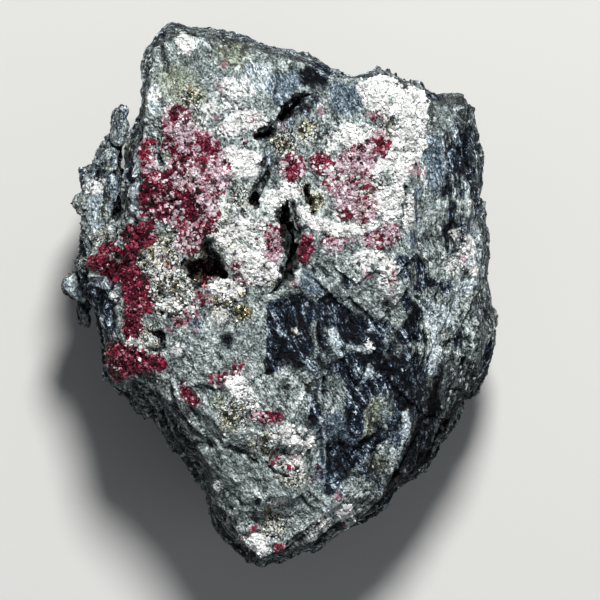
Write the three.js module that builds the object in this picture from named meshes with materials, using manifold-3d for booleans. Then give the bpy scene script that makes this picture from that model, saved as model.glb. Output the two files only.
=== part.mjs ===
// A hand specimen of cinnabar: a broken block of grey-green schist and blue-black slate with a vein
// of cinnabar, calcite and pyrite crystals over its front face. Millimetres, +Z up. It lies on its
// back: the flat cleaved back is at z = 0 and the mineral face looks up. +Y runs along its length.
import * as THREE from "three";
import { mergeVertices } from "three/addons/utils/BufferGeometryUtils.js";
import Module from "manifold-3d";

const wasm = await Module();
wasm.setup();

// ---- Driving dimensions, in millimetres ----
const SEAT_GAP = 0.3; // between a crust and the rock it grows on, and between two crusts
const ABOVE_ALL = 56; // a height clear of everything
const SPOT_REACH = 2.6; // how far the pull of one spot height is rounded off
const FACE_CELL = 3.2; // size of one facet of the front face
const FACE_WIDTH = 72;
const FACE_LENGTH = 86;
const CUTTER_SIZE = 200; // a box wider than the block

const CRACK_FLOOR = 0.35; // width of a crack's floor against its mouth
const HOLLOW_FLOOR = 0.8;
const HOLLOWS = ["red_hollow"]; // open hollows whose floor is nearly as wide as their mouth
const SHALLOWEST_CRACK = 2;
const BELOW_BACK = 10; // how far the cutting prisms run on under the back
const SLAB_FLOOR = -5; // underside of the slab that carries the face, clear under the back
const FLANK_TOP = 1; // how far the flanks run on above the face before it cuts them
const SPOT_FALLOFF = -2.2; // power of a spot height's pull against distance squared
const CORNER_STRETCH = 1.15; // keeps a gap whole round the corners of a widened outline
const EDGE_THINNING = 0.25; // how soon a blade thins behind its rim
const SAME_POINT = 1e-3; // points this near to each other are one

// The flanks in rings: the share of the way from the widest line up to the edge of the face, and
// down to the back. Powers over 1 make a flank bulge.
const RINGS_UP = [1, 0.8, 0.55, 0.28];
const RINGS_DOWN = [0, 0.3, 0.62, 0.86, 1];
const BULGE_UP = 1.35;
const BULGE_DOWN = 1.6;

// The block's outline seen from the front, clockwise from its top left peak.
const BLOCK_CENTRE = [1, 0];
const BLOCK_OUTLINE = [
  [-17.0, 40.4], [-15.0, 40.0], [-13.6, 39.4], [-10.2, 39.4], [-7.5, 39.1], [-5.0, 38.5],
  [-3.3, 37.6], [-1.0, 36.7], [1.3, 36.4], [2.7, 35.8], [5.0, 35.0], [6.3, 34.2], [7.4, 33.3],
  [9.2, 33.0], [11.8, 32.2], [12.6, 32.9], [14.6, 33.2], [16.9, 32.6], [19.0, 31.5], [20.6, 31.6],
  [21.6, 30.4], [23.6, 29.2], [24.6, 30.0], [27.3, 29.8], [28.5, 29.0], [29.4, 27.2], [30.1, 24.9],
  [30.3, 22.6], [30.9, 20.9], [30.7, 17.3], [30.1, 14.0], [30.5, 10.3], [31.1, 6.5], [31.1, 2.0],
  [31.5, -1.4], [32.4, -3.6], [32.3, -7.7], [31.4, -10.6], [29.8, -14.8], [27.6, -16.3],
  [26.6, -19.6], [25.3, -22.3], [23.9, -24.8], [21.8, -27.2], [18.9, -28.2], [17.3, -30.1],
  [16.4, -31.6], [14.0, -33.4], [12.4, -34.5], [9.2, -35.4], [7.4, -36.5], [5.6, -38.5],
  [3.2, -38.8], [0.6, -39.6], [-1.6, -39.5], [-2.7, -40.6], [-5.0, -40.2], [-7.0, -38.7],
  [-8.4, -36.8], [-9.9, -34.1], [-10.4, -32.0], [-11.6, -29.9], [-13.9, -25.9], [-16.4, -23.2],
  [-18.0, -20.8], [-19.1, -18.4], [-20.2, -18.7], [-22.2, -17.1], [-23.2, -15.7], [-25.3, -14.3],
  [-26.2, -12.0], [-26.2, -6.6], [-27.2, -3.6], [-28.5, -1.4], [-29.4, 0.6], [-30.2, 2.6],
  [-30.7, 4.8], [-29.6, 5.7], [-29.7, 7.6], [-29.1, 9.6], [-26.5, 10.6], [-24.5, 11.2],
  [-23.2, 12.6], [-22.9, 14.5], [-22.6, 17.8], [-22.4, 20.5], [-22.2, 22.8], [-21.3, 23.6],
  [-20.8, 25.5], [-20.1, 27.2], [-20.1, 31.0], [-20.1, 34.0], [-19.5, 36.6], [-18.5, 38.8],
];

// The thin blades of slate on the left side: a long splinter that stands off it, the prong on the
// splinter's tip, and two loose-edged flakes lower down. Each has the height of its rim, top and
// underside above the back, and the share of its width that its top and underside keep.
const BLADES = {
  splinter: { centre: [-27, 14], rim: 21, top: 28, bottom: 12, keep: 0.68, outline: [
    [-28.4, 3.6], [-29.8, 6.5], [-29.2, 9.5], [-29.1, 11.2], [-30.8, 13.2], [-30.6, 14.3],
    [-29.5, 15.1], [-29.8, 18.2], [-28.7, 19.1], [-27.3, 21.5], [-25.4, 23.3], [-24.5, 24.0],
    [-24.1, 23.0], [-24.2, 21.6], [-24.8, 20.0], [-24.4, 18.9], [-23.9, 18.4], [-23.5, 16.0],
    [-23.8, 14.2], [-23.9, 12.8], [-24.8, 11.2], [-25.0, 8.2], [-25.6, 4.0],
  ] },
  prong: { centre: [-24, 25], rim: 25, top: 28, bottom: 21.5, keep: 0.6, outline: [
    [-25.2, 22.6], [-24.7, 24.5], [-24.6, 26.5], [-24.2, 27.6], [-23.4, 27.8], [-23.1, 27.2],
    [-23.4, 26.2], [-23.1, 24.8], [-23.5, 24.1], [-23.8, 22.8], [-24.5, 21.8],
  ] },
  flake: { centre: [-29.8, 0.8], rim: 17, top: 22, bottom: 13, keep: 0.66, outline: [
    [-28.9, -2.5], [-30.4, -1.5], [-31.5, -0.5], [-32.5, 0.8], [-32.4, 2.0], [-31.3, 3.1],
    [-29.4, 3.9], [-27.4, 2.8], [-26.9, 0.2], [-27.6, -1.9],
  ] },
  sliver: { centre: [-29.8, -2.6], rim: 16, top: 18, bottom: 13.5, keep: 0.6, outline: [
    [-28.5, -5.5], [-29.7, -5.0], [-30.3, -4.2], [-31.0, -2.3], [-30.7, -0.9], [-29.9, 0.4],
    [-28.9, 0.3], [-28.9, -1.6], [-29.1, -3.0], [-28.6, -4.6],
  ] },
};

// Where the face breaks off into the flanks, and the flat back, both clockwise from the top left.
const FACE_EDGE = [
  [-17.2, 38.0], [-8.0, 37.4], [1.5, 34.6], [7.5, 31.6], [14.0, 31.4], [20.0, 29.8], [26.2, 27.0],
  [26.8, 15.0], [27.6, 4.0], [27.4, -8.0], [25.2, -15.0], [20.5, -23.0], [14.6, -30.4],
  [5.4, -37.0], [0.6, -38.6], [-2.6, -39.6], [-6.2, -36.6], [-9.3, -29.0], [-10.2, -23.2],
  [-14.6, -17.2], [-17.6, -13.4], [-24.6, -11.6], [-25.0, -6.6], [-27.6, -1.6], [-28.8, 4.6],
  [-27.6, 9.0], [-24.4, 10.0], [-22.2, 13.2], [-21.4, 20.0], [-19.4, 26.4], [-19.0, 34.4],
];
const BACK_OUTLINE = [
  [-13.0, 28.0], [4.0, 26.5], [20.5, 22.0], [25.0, 9.0], [25.5, -7.0], [18.0, -20.0],
  [5.0, -30.0], [-4.0, -31.5], [-12.5, -19.0], [-21.0, -9.5], [-23.0, 4.0], [-17.5, 15.0],
];

// Height of the block's widest line by direction from the centre, in degrees anticlockwise
// from +X.
const RIM_HEIGHTS = [
  [-180, 17], [-160, 14], [-148, 12], [-125, 11], [-103, 15], [-80, 18], [-55, 12], [-25, 13],
  [0, 16], [38, 18], [60, 24], [90, 26], [113, 21], [125, 24], [152, 21], [168, 18], [180, 17],
];

// Spot heights of the front face above the back, before its edges roll over: x, y, height.
const SPOTS = [
  [-16, 36, 37.0], [-6, 35, 39.0], [-14, 28, 40.0], [-5, 29, 40.6], [0, 31, 39.6], [4, 32, 36.4],
  [8, 29, 37.4], [15, 29, 39.6], [21, 26, 38.2], [26, 24, 34.0], [-19, 18, 38.6], [-11, 18, 40.6],
  [-4, 20, 40.2], [3, 20, 38.8], [11, 18, 40.2], [18, 15, 39.8], [22, 12, 37.2], [27, 8, 33.0],
  [-20, 8, 36.6], [-15, 3, 38.2], [-8, 7, 40.6], [-2, 6, 40.8], [4, 8, 39.6], [11, 6, 39.4],
  [17, 3, 38.4], [23, 0, 35.4], [28, -4, 31.0], [-25, 5, 30.5], [-28, 9, 27.0], [-26, 0, 26.5],
  [-22, -1, 34.5], [-24, -8, 30.0], [-18, -8, 36.0], [-10, -8, 38.4], [-3, -6, 39.2],
  [4, -6, 38.0], [12, -6, 36.4], [20, -8, 33.6], [27, -9, 29.0], [-16, -14, 34.6],
  [-8, -18, 37.0], [0, -18, 37.8], [8, -18, 35.4], [16, -18, 31.6], [22, -20, 27.4],
  [-8, -28, 33.4], [0, -28, 35.0], [8, -28, 32.4], [14, -28, 28.6], [-3, -36, 29.0], [4, -35, 30.4],
];

// Flat breaks across the block's edges: the bearing that each faces, in degrees anticlockwise from
// +X, its tilt above the level, and how deep it shaves the edge it meets.
const BREAKS = [
  { bearing: 8, tilt: 44, shave: 2.2 },
  { bearing: 38, tilt: 30, shave: 2.4 },
  { bearing: 78, tilt: 38, shave: 1.6 },
  { bearing: 118, tilt: 30, shave: 0.8 },
  { bearing: 218, tilt: 40, shave: 2.6 },
  { bearing: 302, tilt: 34, shave: 2.2 },
  { bearing: 334, tilt: 47, shave: 3.4 },
  { bearing: 12, tilt: -34, shave: 4.2 },
  { bearing: 52, tilt: -44, shave: 4.6 },
  { bearing: 92, tilt: -30, shave: 3.1 },
  { bearing: 136, tilt: -42, shave: 4.8 },
  { bearing: 172, tilt: -30, shave: 3.0 },
  { bearing: 207, tilt: -46, shave: 5.4 },
  { bearing: 246, tilt: -33, shave: 3.6 },
  { bearing: 281, tilt: -50, shave: 4.6 },
  { bearing: 318, tilt: -36, shave: 4.4 },
  { bearing: 348, tilt: -52, shave: 3.4 },
];

// Open cracks and hollows in the face. Each lists points along it: x, y, half its width there, and
// the height of its floor above the back.
const CRACKS = {
  upper_crevice: [
    [4.4, 29.8, 0.4, 34.5], [2.6, 28.8, 0.8, 33], [1.0, 27.0, 1.1, 31], [-0.8, 25.0, 0.7, 33],
    [-2.0, 23.6, 1.0, 33], [-3.8, 23.2, 0.6, 36],
  ],
  main_cleft: [
    [1.4, 13.8, 0.4, 36], [0.4, 11.6, 0.8, 33], [1.2, 9.4, 1.0, 31], [1.9, 7.2, 0.9, 30],
    [1.4, 5.0, 1.1, 30], [0.6, 3.0, 1.2, 31], [0.2, 1.4, 0.7, 34], [-1.0, 0.2, 0.45, 37],
    [-2.6, -0.3, 0.25, 38.3],
  ],
  upper_seam: [
    [-1.5, 19.2, 0.25, 38], [-2.1, 17.2, 0.5, 36.5], [-3.0, 15.8, 0.5, 36], [-4.0, 13.8, 0.9, 35],
    [-3.7, 12.4, 0.3, 38.5],
  ],
  pyrite_seam: [
    [4.4, 17.6, 0.25, 37.5], [3.6, 15.6, 0.45, 35.5], [3.9, 13.6, 0.5, 35], [5.1, 11.7, 0.25, 37.5],
  ],
  right_seam: [[19.0, 15.4, 0.2, 37.5], [18.8, 13.2, 0.35, 35], [18.6, 11.2, 0.2, 37]],
  red_hollow: [
    [-15.0, 4.9, 0.4, 37], [-13.2, 3.8, 1.7, 35], [-11.4, 3.3, 2.4, 34.4], [-9.7, 3.3, 2.1, 34.6],
    [-8.5, 3.0, 0.9, 36], [-7.7, 2.6, 0.3, 38.5],
  ],
  hollow_arm: [[-10.9, 8.6, 0.3, 38.5], [-10.8, 7.0, 0.9, 36], [-10.7, 4.4, 0.9, 35]],
  lower_left_hollow: [
    [-20.1, -5.1, 0.3, 33.5], [-19.0, -6.0, 0.6, 32], [-17.8, -6.3, 0.7, 31.5],
    [-17.6, -8.4, 0.7, 31.5], [-19.7, -8.7, 0.3, 33.5],
  ],
  left_seam: [
    [-17.9, 25.2, 0.2, 38.3], [-17.9, 23.0, 0.4, 36.5], [-18.3, 21.0, 0.4, 36],
    [-17.6, 19.0, 0.5, 36], [-17.2, 17.6, 0.2, 38],
  ],
  splinter_root: [
    [-23.4, 13.4, 0.3, 18], [-24.3, 11.6, 0.35, 21], [-24.6, 9.8, 0.4, 24], [-24.6, 7.8, 0.2, 28],
  ],
};

// The crusts of crystals on the face: their mineral, thickness and outline, clockwise. A crust that
// isn't on the level face says which way its stretch of rock faces, and one that floors a hollow
// names it.
const CRUSTS = {
  cinnabar_upper_crust: { of: "cinnabar", thick: 1.2, outline: [
    [-16.6, 27.9], [-15.2, 27.9], [-13.2, 27.0], [-12.8, 25.3], [-11.6, 24.3], [-9.3, 22.4],
    [-8.3, 20.4], [-7.3, 18.2], [-7.9, 15.8], [-9.3, 14.6], [-9.4, 11.8], [-10.0, 9.6],
    [-11.6, 8.0], [-12.9, 6.3], [-14.6, 5.9], [-15.5, 7.2], [-15.1, 9.7], [-16.6, 10.7],
    [-18.6, 11.2], [-20.6, 11.9], [-20.9, 14.0], [-20.3, 17.2], [-20.9, 20.5], [-20.4, 22.8],
    [-18.2, 23.0], [-17.6, 25.3],
  ] },
  cinnabar_left_arc: { of: "cinnabar", thick: 1.3, facing: [-0.45, 0, 1], outline: [
    [-23.9, 8.6], [-22.9, 9.6], [-21.2, 10.1], [-19.3, 10.6], [-18.4, 9.6], [-18.7, 8.2],
    [-20.3, 7.2], [-21.6, 6.2], [-21.9, 4.6], [-21.2, 3.2], [-19.9, 2.6], [-19.6, 1.3],
    [-19.9, 0.0], [-18.9, -1.2], [-19.2, -2.6], [-20.8, -3.0], [-20.7, -5.0], [-20.9, -6.6],
    [-22.6, -6.8], [-23.2, -5.5], [-22.9, -3.0], [-23.2, -1.0], [-23.5, 0.8], [-24.0, 2.0],
    [-25.2, 1.6], [-25.9, 2.9], [-27.3, 3.6], [-28.9, 4.1], [-28.6, 5.2], [-27.2, 5.8],
    [-26.6, 7.0], [-25.4, 7.5], [-24.2, 6.6], [-23.0, 6.0], [-22.6, 7.0], [-23.2, 7.9],
  ] },
  cinnabar_lower_left: { of: "cinnabar", thick: 1.2, facing: [-0.7, -0.2, 1], outline: [
    [-25.8, -8.6], [-25.2, -7.6], [-24.2, -7.5], [-22.6, -8.1], [-21.0, -8.8], [-19.8, -9.6],
    [-18.0, -9.6], [-17.3, -10.2], [-16.9, -11.0], [-17.8, -11.6], [-19.6, -11.5], [-21.0, -12.2],
    [-22.4, -11.9], [-23.6, -12.5], [-24.5, -13.0], [-25.3, -12.2], [-25.7, -10.4],
  ] },
  cinnabar_hollow: { of: "cinnabar", thick: 0.9, floors: "red_hollow", outline: [
    [-12.6, 4.3], [-11.2, 4.7], [-9.9, 4.5], [-9.2, 3.7], [-9.6, 2.6], [-10.8, 2.0], [-12.2, 2.4],
    [-12.9, 3.2],
  ] },
  cinnabar_pair_left: { of: "cinnabar", thick: 1.3, outline: [
    [0.2, 19.0], [1.0, 20.6], [2.0, 20.8], [2.8, 20.1], [3.6, 18.6], [3.0, 17.5], [1.8, 16.9],
    [0.8, 17.4],
  ] },
  cinnabar_pair_right: { of: "cinnabar", thick: 1.3, outline: [
    [4.5, 19.8], [5.4, 20.6], [6.6, 20.6], [7.4, 20.2], [7.2, 19.4], [6.9, 18.4], [6.2, 18.0],
    [5.3, 18.2], [4.8, 18.9],
  ] },
  cinnabar_pink_patch: { of: "cinnabar", thick: 1.0, outline: [
    [7.8, 19.4], [9.2, 20.0], [10.0, 21.2], [11.8, 21.8], [12.9, 22.3], [14.2, 23.9], [15.6, 23.8],
    [16.3, 22.6], [16.0, 20.4], [14.0, 20.0], [13.2, 18.2], [13.8, 16.2], [14.3, 13.8],
    [14.4, 11.6], [12.8, 10.6], [10.6, 10.6], [8.4, 12.4], [7.4, 14.2], [7.0, 16.6],
  ] },
  cinnabar_cleft_left: { of: "cinnabar", thick: 1.1, outline: [
    [-1.9, 9.6], [-0.8, 10.0], [-0.2, 9.0], [0.2, 7.4], [-0.1, 5.6], [-0.8, 4.6], [-1.6, 4.5],
    [-2.2, 5.4], [-2.2, 6.6], [-1.5, 7.6], [-1.9, 8.6],
  ] },
  cinnabar_right_spray: { of: "cinnabar", thick: 1.0, outline: [
    [12.2, 8.6], [14.2, 9.2], [15.6, 10.1], [16.8, 10.2], [17.4, 9.3], [18.1, 8.5], [17.2, 8.1],
    [16.2, 7.4], [14.6, 6.9], [13.2, 7.2], [12.3, 7.8],
  ] },
  cinnabar_cleft_right: { of: "cinnabar", thick: 1.1, outline: [
    [3.0, 8.2], [3.6, 8.5], [4.3, 8.0], [4.9, 7.0], [4.6, 5.9], [3.9, 4.9], [3.0, 4.6],
    [3.0, 6.4],
  ] },
  cinnabar_pink_bloom: { of: "cinnabar", thick: 0.8, outline: [
    [6.4, 7.9], [8.0, 8.4], [9.3, 7.8], [9.2, 6.8], [8.0, 6.3], [7.0, 7.0],
  ] },
  cinnabar_low_spots: { of: "cinnabar", thick: 0.8, outline: [
    [-14.6, -13.7], [-13.8, -13.7], [-13.3, -15.0], [-12.4, -15.8], [-12.6, -16.6],
    [-13.6, -16.4], [-14.4, -15.2],
  ] },
  cinnabar_low_streak: { of: "cinnabar", thick: 0.8, outline: [
    [-4.4, -17.8], [-3.2, -18.0], [-1.4, -17.8], [0.2, -18.0], [0.3, -18.8], [-1.4, -19.2],
    [-2.6, -18.8], [-4.0, -18.7],
  ] },
  cinnabar_tip: { of: "cinnabar", thick: 0.9, facing: [0, -0.5, 1], outline: [
    [-1.0, -37.8], [0.2, -37.6], [1.0, -38.2], [0.4, -38.8], [-0.8, -38.7],
  ] },
  calcite_top_spot: { of: "calcite", thick: 0.9, outline: [
    [-15.1, 37.4], [-14.2, 38.1], [-13.2, 37.4], [-12.7, 36.6], [-13.5, 35.8], [-14.6, 36.0],
    [-15.2, 36.7],
  ] },
  calcite_upper_band: { of: "calcite", thick: 1.0, outline: [
    [-8.3, 25.3], [-7.0, 26.6], [-5.0, 26.9], [-3.0, 26.6], [-1.9, 25.6], [-2.6, 24.7],
    [-4.2, 24.6], [-5.6, 23.8], [-7.6, 23.9],
  ] },
  calcite_upper_left: { of: "calcite", thick: 1.6, outline: [
    [-8.2, 21.4], [-7.2, 21.9], [-6.2, 20.9], [-4.8, 21.2], [-3.4, 20.4], [-2.6, 19.6],
    [-2.9, 18.4], [-4.2, 17.4], [-5.6, 17.2], [-6.9, 17.6], [-7.7, 19.2],
  ] },
  calcite_upper_right: { of: "calcite", thick: 1.4, facing: [0.1, 0.3, 1], outline: [
    [11.4, 30.8], [12.8, 31.8], [14.6, 32.1], [17.0, 31.5], [19.0, 30.6], [20.5, 30.5],
    [21.6, 29.0], [22.0, 27.0], [21.4, 24.6], [22.0, 22.2], [21.0, 20.4], [19.6, 19.6],
    [18.8, 18.0], [18.2, 16.4], [18.0, 14.0], [17.8, 11.4], [16.2, 11.0], [15.0, 11.8],
    [14.8, 14.0], [14.4, 16.2], [13.8, 18.2], [14.6, 19.6], [16.6, 20.2], [17.0, 22.8],
    [16.7, 25.0], [15.4, 26.2], [14.4, 27.4], [12.8, 27.2], [12.4, 28.8], [12.2, 30.0],
  ] },
  calcite_upper_middle: { of: "calcite", thick: 1.3, outline: [
    [8.4, 24.6], [10.2, 24.9], [12.4, 24.8], [13.6, 23.9], [12.8, 22.7], [11.4, 22.1],
    [9.9, 21.9], [8.8, 23.2],
  ] },
  calcite_right_strip: { of: "calcite", thick: 0.8, outline: [
    [19.4, 15.2], [20.0, 13.4], [19.8, 10.8], [19.2, 9.8], [18.6, 10.4], [19.2, 12.6], [19.3, 14.4],
  ] },
  calcite_curved_seam: { of: "calcite", thick: 1.3, outline: [
    [2.7, 13.2], [3.4, 12.4], [4.8, 11.4], [6.6, 10.8], [8.0, 10.4], [9.8, 9.7], [12.0, 10.0],
    [14.3, 10.6], [14.6, 9.8], [12.4, 9.1], [9.8, 8.8], [7.4, 9.0], [5.6, 9.4], [4.0, 10.4],
    [3.0, 11.4],
  ] },
  calcite_centre_lump: { of: "calcite", thick: 2.2, outline: [
    [-9.4, 9.2], [-8.6, 10.4], [-6.8, 10.9], [-5.0, 10.6], [-3.4, 9.9], [-2.3, 9.4], [-2.2, 8.0],
    [-2.6, 6.6], [-2.6, 5.2], [-1.6, 4.0], [-0.6, 3.2], [-0.8, 2.0], [-2.2, 1.4], [-4.0, 1.6],
    [-5.2, 2.4], [-6.0, 4.0], [-7.2, 5.4], [-8.2, 6.6], [-9.2, 7.8],
  ] },
  calcite_centre_ridge: { of: "calcite", thick: 1.5, outline: [
    [-3.2, 11.2], [-3.0, 13.0], [-2.6, 14.8], [-0.8, 15.2], [0.4, 14.9], [1.4, 15.6], [2.8, 15.9],
    [3.0, 14.6], [2.2, 14.2], [0.6, 13.9], [-0.4, 12.4], [-0.6, 11.0], [-1.6, 10.6], [-2.8, 10.6],
  ] },
  calcite_low_left_lump: { of: "calcite", thick: 1.8, outline: [
    [-10.4, 0.7], [-9.4, 1.5], [-7.6, 1.8], [-6.0, 1.5], [-5.4, 0.4], [-6.2, -0.8], [-8.0, -1.2],
    [-9.8, -0.6],
  ] },
  calcite_left_field: { of: "calcite", thick: 1.1, outline: [
    [-20.4, 6.4], [-18.8, 7.0], [-17.4, 8.2], [-16.0, 7.8], [-15.9, 6.4], [-15.2, 5.6],
    [-14.6, 3.2], [-13.6, 1.6], [-13.0, 0.4], [-13.0, -1.6], [-14.6, -2.8], [-16.6, -2.6],
    [-18.2, -3.6], [-18.6, -3.0], [-18.6, -1.0], [-19.4, 0.2], [-19.1, 1.6], [-19.4, 3.0],
    [-20.8, 3.6], [-21.3, 4.8],
  ] },
  calcite_lower_left_strip: { of: "calcite", thick: 0.9, outline: [
    [-22.8, -7.4], [-22.0, -8.1], [-20.8, -8.4], [-20.2, -7.8], [-20.6, -7.2], [-21.8, -7.0],
  ] },
  calcite_low_blob: { of: "calcite", thick: 1.4, outline: [
    [-7.9, -13.0], [-6.8, -12.4], [-5.6, -12.8], [-4.6, -14.2], [-3.5, -15.2], [-4.3, -16.0],
    [-5.6, -15.6], [-6.8, -14.9], [-7.8, -14.2],
  ] },
  calcite_low_patch: { of: "calcite", thick: 1.2, outline: [
    [-1.4, -19.8], [0.6, -19.5], [2.4, -20.2], [3.8, -20.4], [4.8, -21.6], [5.0, -22.8],
    [3.4, -23.4], [1.6, -22.8], [0.0, -22.0], [-1.4, -21.4],
  ] },
  calcite_right_low: { of: "calcite", thick: 1.1, outline: [
    [11.2, 5.6], [12.8, 6.3], [14.6, 5.8], [15.8, 5.4], [16.7, 4.6], [17.0, 3.2], [16.4, 2.3],
    [15.6, 2.5], [15.2, 3.8], [14.6, 4.9], [12.8, 5.0],
  ] },
  calcite_right_edge: { of: "calcite", thick: 1.0, facing: [1, 0, 0.8], outline: [
    [27.8, 8.4], [28.8, 8.6], [29.3, 7.4], [29.6, 5.0], [29.6, 3.2], [28.8, 2.8], [27.8, 3.4],
    [27.0, 4.2], [27.0, 5.6], [27.4, 7.0],
  ] },
  calcite_foot: { of: "calcite", thick: 1.0, facing: [0.2, -0.4, 1], outline: [
    [8.8, -32.2], [9.8, -31.8], [10.8, -32.2], [11.0, -33.0], [10.2, -33.6], [9.0, -33.6],
    [8.5, -33.0],
  ] },
  calcite_tip: { of: "calcite", thick: 1.1, facing: [-0.1, -0.5, 1], outline: [
    [-4.8, -37.0], [-4.0, -36.2], [-2.4, -36.1], [-1.2, -36.7], [-1.4, -38.4], [-2.2, -39.3],
    [-3.4, -39.0], [-3.4, -38.2], [-4.4, -37.8],
  ] },
  pyrite_seam_nest: { of: "pyrite", thick: 0.8, outline: [
    [4.6, 14.6], [5.2, 14.9], [6.2, 14.4], [6.4, 13.6], [5.6, 13.0], [5.2, 12.6], [4.7, 13.2],
  ] },
  pyrite_low_nest: { of: "pyrite", thick: 0.8, outline: [
    [-6.4, -2.4], [-5.4, -1.9], [-4.7, -2.6], [-4.8, -3.6], [-5.8, -4.0], [-6.6, -3.2],
  ] },
};

const FINISHES = {
  host_rock: { color: 0x7f8a84, roughness: 0.82, metalness: 0 },
  cinnabar: { color: 0x8f0f24, roughness: 0.35, metalness: 0 },
  calcite: { color: 0xe9e8e2, roughness: 0.45, metalness: 0 },
  pyrite: { color: 0x8c7a3e, roughness: 0.4, metalness: 1 },
};

// ---- Solids ----

function solidFrom(geometry) {
  const bare = geometry.clone();
  bare.deleteAttribute("normal");
  bare.deleteAttribute("uv");
  const merged = mergeVertices(bare, SAME_POINT);
  return new wasm.Manifold(
    new wasm.Mesh({
      numProp: 3,
      vertProperties: new Float32Array(merged.attributes.position.array),
      triVerts: new Uint32Array(merged.index.array),
    }),
  );
}

function geometryFrom(solid) {
  const mesh = solid.getMesh();
  const geometry = new THREE.BufferGeometry();
  geometry.setAttribute("position", new THREE.BufferAttribute(mesh.vertProperties, 3));
  geometry.setIndex(new THREE.BufferAttribute(mesh.triVerts, 1));
  geometry.computeVertexNormals();
  return geometry;
}

function largestPiece(solid) {
  const pieces = solidFrom(geometryFrom(solid)).decompose();
  return pieces.reduce((a, b) => (a.volume() > b.volume() ? a : b));
}

// An upright prism on a clockwise outline, from below everything to above everything.
function prism(outline) {
  const shape = new THREE.Shape(outline.map(([x, y]) => new THREE.Vector2(x, y)));
  const geometry = new THREE.ExtrudeGeometry(shape, { depth: ABOVE_ALL + BELOW_BACK, bevelEnabled: false });
  geometry.translate(0, 0, -BELOW_BACK);
  return solidFrom(geometry);
}

// A body wound round an outline. ringAt gives the point where each ring, counted from the top down,
// meets the spoke to each point of the outline. The first and last rings close on the centre.
function wound(outline, centre, rings, ringAt, topHeight, bottomHeight) {
  const spokes = [...outline].reverse();
  const geometry = new THREE.SphereGeometry(1, spokes.length, rings + 1);
  const position = geometry.attributes.position;
  const across = spokes.length + 1;
  for (let i = 0; i < position.count; i++) {
    const row = Math.floor(i / across);
    const [sx, sy] = spokes[(i % across) % spokes.length];
    if (row === 0) position.setXYZ(i, centre[0], centre[1], topHeight);
    else if (row === rings + 1) position.setXYZ(i, centre[0], centre[1], bottomHeight);
    else position.setXYZ(i, ...ringAt(row - 1, sx, sy));
  }
  return solidFrom(geometry);
}

// ---- The face and the flanks ----

function towards([fromX, fromY], [toX, toY], share) {
  return [fromX + (toX - fromX) * share, fromY + (toY - fromY) * share];
}

function rimHeight(x, y) {
  const angle = THREE.MathUtils.radToDeg(Math.atan2(y - BLOCK_CENTRE[1], x - BLOCK_CENTRE[0]));
  const next = Math.max(RIM_HEIGHTS.findIndex(([at]) => at >= angle), 1);
  const [fromAngle, fromHeight] = RIM_HEIGHTS[next - 1];
  const [toAngle, toHeight] = RIM_HEIGHTS[next];
  return THREE.MathUtils.mapLinear(angle, fromAngle, toAngle, fromHeight, toHeight);
}

function faceHeight(x, y) {
  let total = 0;
  let weights = 0;
  for (const [sx, sy, height] of SPOTS) {
    const weight = ((x - sx) ** 2 + (y - sy) ** 2 + SPOT_REACH ** 2) ** SPOT_FALLOFF;
    total += weight * height;
    weights += weight;
  }
  return total / weights;
}

// Where the line from the block's centre through a point crosses an outline.
function onOutline(outline, x, y) {
  const [cx, cy] = BLOCK_CENTRE;
  const [dx, dy] = [x - cx, y - cy];
  for (let i = 0; i < outline.length; i++) {
    const [ax, ay] = outline[i];
    const [bx, by] = outline[(i + 1) % outline.length];
    const [ex, ey] = [bx - ax, by - ay];
    const turn = dx * ey - dy * ex;
    const along = ((ax - cx) * ey - (ay - cy) * ex) / turn;
    const across = ((ax - cx) * dy - (ay - cy) * dx) / turn;
    if (along > 0 && across >= 0 && across <= 1) return [cx + dx * along, cy + dy * along];
  }
  throw new Error("no crossing");
}

// The block without its face: flanks that run from the edge of the face out to the widest line and
// back in to the flat back.
function barrel() {
  const ringAt = (ring, sx, sy) => {
    const rim = rimHeight(sx, sy);
    if (ring < RINGS_UP.length) {
      const up = RINGS_UP[ring];
      const edge = onOutline(FACE_EDGE, sx, sy);
      const top = faceHeight(...edge) + FLANK_TOP;
      return [...towards([sx, sy], edge, up ** BULGE_UP), rim + (top - rim) * up];
    }
    const down = RINGS_DOWN[ring - RINGS_UP.length];
    const foot = onOutline(BACK_OUTLINE, sx, sy);
    return [...towards([sx, sy], foot, down ** BULGE_DOWN), rim * (1 - down)];
  };
  const rings = RINGS_UP.length + RINGS_DOWN.length;
  return wound(BLOCK_OUTLINE, BLOCK_CENTRE, rings, ringAt, ABOVE_ALL, 0);
}

// Everything under the front face, as a slab whose top carries the spot heights.
function underFace() {
  const across = Math.round(FACE_WIDTH / FACE_CELL);
  const along = Math.round(FACE_LENGTH / FACE_CELL);
  const geometry = new THREE.BoxGeometry(FACE_WIDTH, FACE_LENGTH, 1, across, along, 1);
  const position = geometry.attributes.position;
  for (let i = 0; i < position.count; i++) {
    const [x, y] = [position.getX(i), position.getY(i)];
    position.setZ(i, position.getZ(i) > 0 ? faceHeight(x, y) : SLAB_FLOOR);
  }
  return solidFrom(geometry);
}

// A thin blade of rock: its rim runs at one height, and it tapers to a shorter top and underside.
function blade({ outline, centre, rim, top, bottom, keep }) {
  const levels = [
    [keep, top],
    [(1 + keep) / 2, top - (top - rim) * EDGE_THINNING],
    [1, rim],
    [(1 + keep) / 2, bottom + (rim - bottom) * EDGE_THINNING],
    [keep, bottom],
  ];
  const ringAt = (ring, sx, sy) => {
    const [share, height] = levels[ring];
    return [...towards(centre, [sx, sy], share), height];
  };
  return wound(outline, centre, levels.length, ringAt, top, bottom);
}

// ---- Cutters ----

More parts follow.
